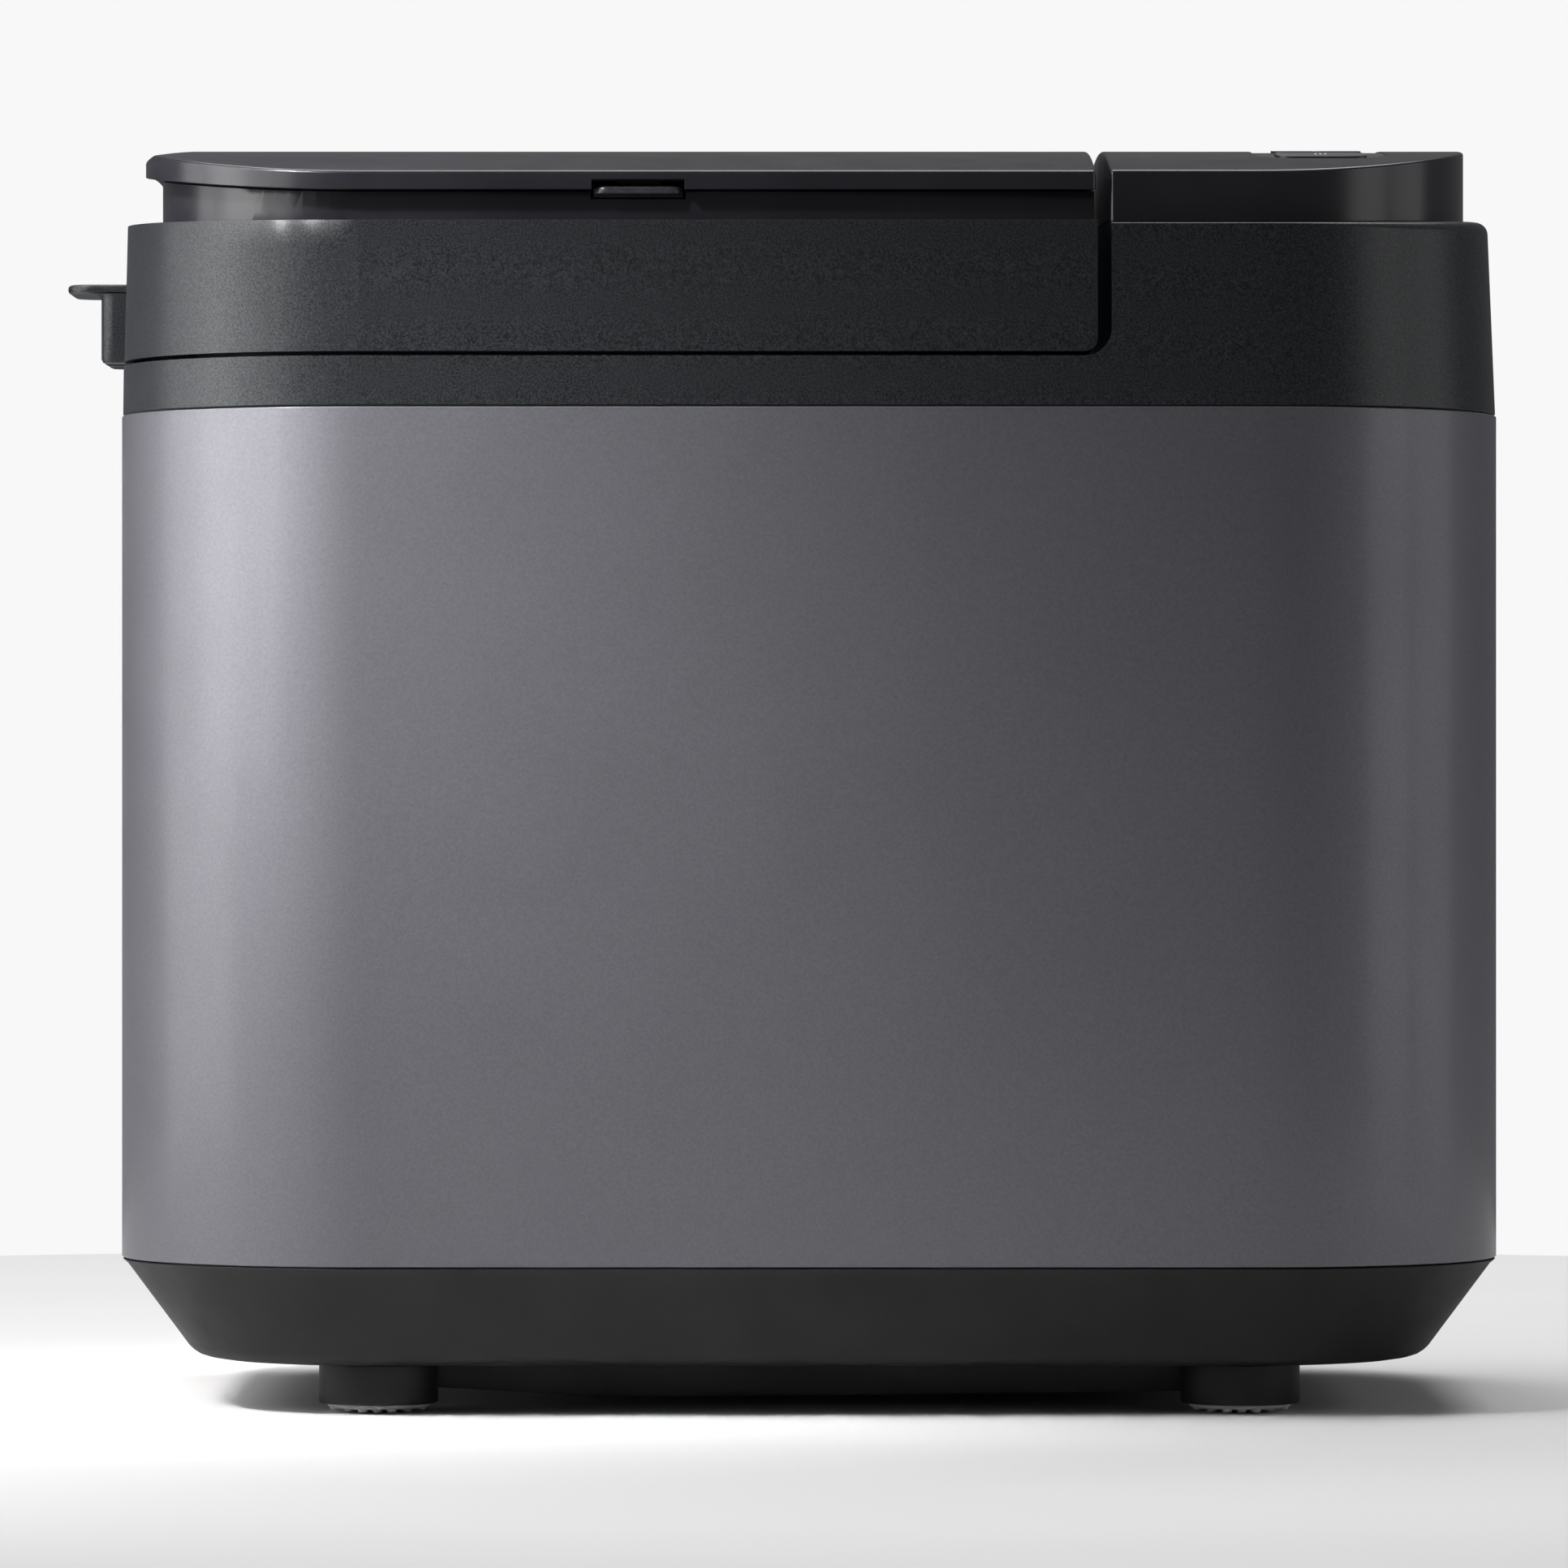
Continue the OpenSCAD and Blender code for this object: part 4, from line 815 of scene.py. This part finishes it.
def digit(lit, left):
    """Bars of a seven-segment digit, which are named a to g clockwise from the top, g in the middle."""
    w = 5.72
    t = 1.21
    half = 5.5
    places = {
        "a": (t, half - t, w - t, half), "b": (w - t, t / 2, w, half - t),
        "c": (w - t, t - half, w, -t / 2), "d": (t, -half, w - t, t - half),
        "e": (0, t - half, t, -t / 2), "f": (0, t / 2, t, half - t), "g": (t, -t / 2, w - t, t / 2),
    }
    return [bar(left + u0 + 0.1, v0 + 0.1, left + u1 - 0.1, v1 - 0.1)
            for name, (u0, v0, u1, v1) in places.items() if name in lit]


def dome(radius, foot):
    """Half disc whose straight side lies at foot."""
    angles = [math.pi * k / 16 for k in range(17)]
    return [(radius * math.cos(a), foot + radius * math.sin(a)) for a in angles]


MARKS = {
    "lcd_window": digit("abcdg", -11.5) + digit("abcdef", -1.0) + digit("abcdef", 6.5)
    + [bar(-3.6, 1.4, -2.4, 2.6), bar(-3.6, -2.6, -2.4, -1.4)],
    "button_menu": [bar(-2.2, v, 2.2, v + 0.6) for v in (-1.7, -0.3, 1.1)],
    "button_crust": [dome(2.2, -0.9)],
    "button_timer_up": [[(-1.8, -1.2), (1.8, -1.2), (0, 1.6)]],
    "button_timer_down": [[(-1.8, 1.2), (0, -1.6), (1.8, 1.2)]],
    "button_start": [[(-1.5, -2.1), (2.1, 0), (-1.5, 2.1)]],
    "button_stop": [bar(-1.8, -1.8, 1.8, 1.8)],
}


# The window lies just below the crown, and the keys stand just above it
WINDOW_DEPTH = 0.3
KEY_RISE = 0.2


def make_marks():
    """Thin printed marks that follow the crowned tops of the keys and the display."""
    for node, outlines in MARKS.items():
        low, high = box_mm(node)
        centre = (low + high) / 2
        depth = WINDOW_DEPTH if node == "lcd_window" else -KEY_RISE
        parts = []
        for outline in outlines:
            points = [Vector((centre.x - v, centre.y + u)) for u, v in outline]
            loops = [at_height(points, crown(depth + 0.3)), at_height(points, crown(depth - 0.04))]
            parts.append(loft(loops, fill_first=True, fill_last=True))
        new_piece(node + "_marks", *merged(parts), FINISHES["tray_plastic"], body_of(node))


# ---------------------------------------------------------------------------------------------
# Stage
# ---------------------------------------------------------------------------------------------
def add_camera():
    """Level view of the side, from far enough for its weak perspective."""
    data = bpy.data.cameras.new("camera")
    data.lens = 206.1
    data.sensor_width = 36.0
    data.shift_y = 0.0155
    data.clip_end = 20.0
    camera = bpy.data.objects.new("camera", data)
    camera.location = (0.0024, -2.6, 0.1693)
    camera.rotation_euler = (math.radians(90), 0, 0)
    bpy.context.scene.collection.objects.link(camera)
    bpy.context.scene.camera = camera


def add_softbox(name, azimuth, distance, height, size, power, aim=(0, 0, 0.2), spread=180):
    """Soft light at an azimuth in degrees from the camera's side towards the panel end."""
    data = bpy.data.lights.new(name, "AREA")
    data.shape = "RECTANGLE"
    data.size, data.size_y = size
    data.energy = power
    data.spread = math.radians(spread)
    light = bpy.data.objects.new(name, data)
    angle = math.radians(azimuth)
    light.location = (distance * math.sin(angle), -distance * math.cos(angle), height)
    target = Vector(aim)
    light.rotation_euler = (target - light.location).to_track_quat("-Z", "Y").to_euler()
    bpy.context.scene.collection.objects.link(light)


def add_floor():
    """Pale disc that the machine stands on."""
    mesh = bpy.data.meshes.new("floor")
    radius = 0.85
    steps = 96
    angles = [2 * math.pi * k / steps for k in range(steps)]
    ring = [(radius * math.cos(a), radius * math.sin(a), 0) for a in angles]
    mesh.from_pydata(ring, [], [tuple(range(steps))])
    floor = bpy.data.objects.new("floor", mesh)
    bpy.context.scene.collection.objects.link(floor)
    f = Finish("floor", 0.8, specular_ior_level=0.0)
    f.paint(f.two_tone(f.noise(3.0), "d6d6d6", "dadada"))
    mesh.materials.append(f.material)


def add_lights():
    """Soft boxes behind and in front of the machine and over it, and cards close to its near side."""
    add_softbox("rear_softbox", -80, 1.0, 0.4, (0.72, 1.2), 7.5)
    add_softbox("near_card", -58, 0.48, 0.4, (0.3, 0.46), 1.15)
    add_softbox("near_wash", -45, 0.95, 0.95, (0.25, 0.25), 0.66, (-0.15, -0.126, 0.205), 20)
    add_softbox("front_softbox", 88, 1.3, 0.35, (0.5, 1.2), 1.6)
    add_softbox("front_card", 64, 1.3, 0.35, (0.45, 1.2), 2.1)
    add_softbox("top_softbox", 180, 0.7, 2.4, (2.2, 2.2), 68)


def add_world():
    """Studio that looks pale to the camera and lights the machine only faintly."""
    bpy.context.scene.view_settings.view_transform = "Standard"
    world = bpy.data.worlds.new("studio")
    bpy.context.scene.world = world
    world.use_nodes = True
    tree = world.node_tree
    shown = tree.nodes["Background"]
    shown.inputs["Color"].default_value = linear("f8f8f8")
    shown.inputs["Strength"].default_value = 1.0
    lighting = tree.nodes.new("ShaderNodeBackground")
    lighting.inputs["Color"].default_value = linear("f0f0f4")
    lighting.inputs["Strength"].default_value = 0.13
    path = tree.nodes.new("ShaderNodeLightPath")
    mix = tree.nodes.new("ShaderNodeMixShader")
    tree.links.new(path.outputs["Is Camera Ray"], mix.inputs["Fac"])
    tree.links.new(lighting.outputs[0], mix.inputs[1])
    tree.links.new(shown.outputs[0], mix.inputs[2])
    tree.links.new(mix.outputs[0], tree.nodes["World Output"].inputs["Surface"])


# ---------------------------------------------------------------------------------------------
# Scene
# ---------------------------------------------------------------------------------------------
add_camera()
FINISHES = make_finishes()
dress_nodes()
make_wrap()
make_base()
make_foot_pads()
make_top_frame()
make_rear_tab()
make_catch()
make_dispenser_lid()
make_lid_lugs()
make_keeper()
make_panel_block()
make_refined()
make_marks()
add_floor()
add_world()
add_lights()
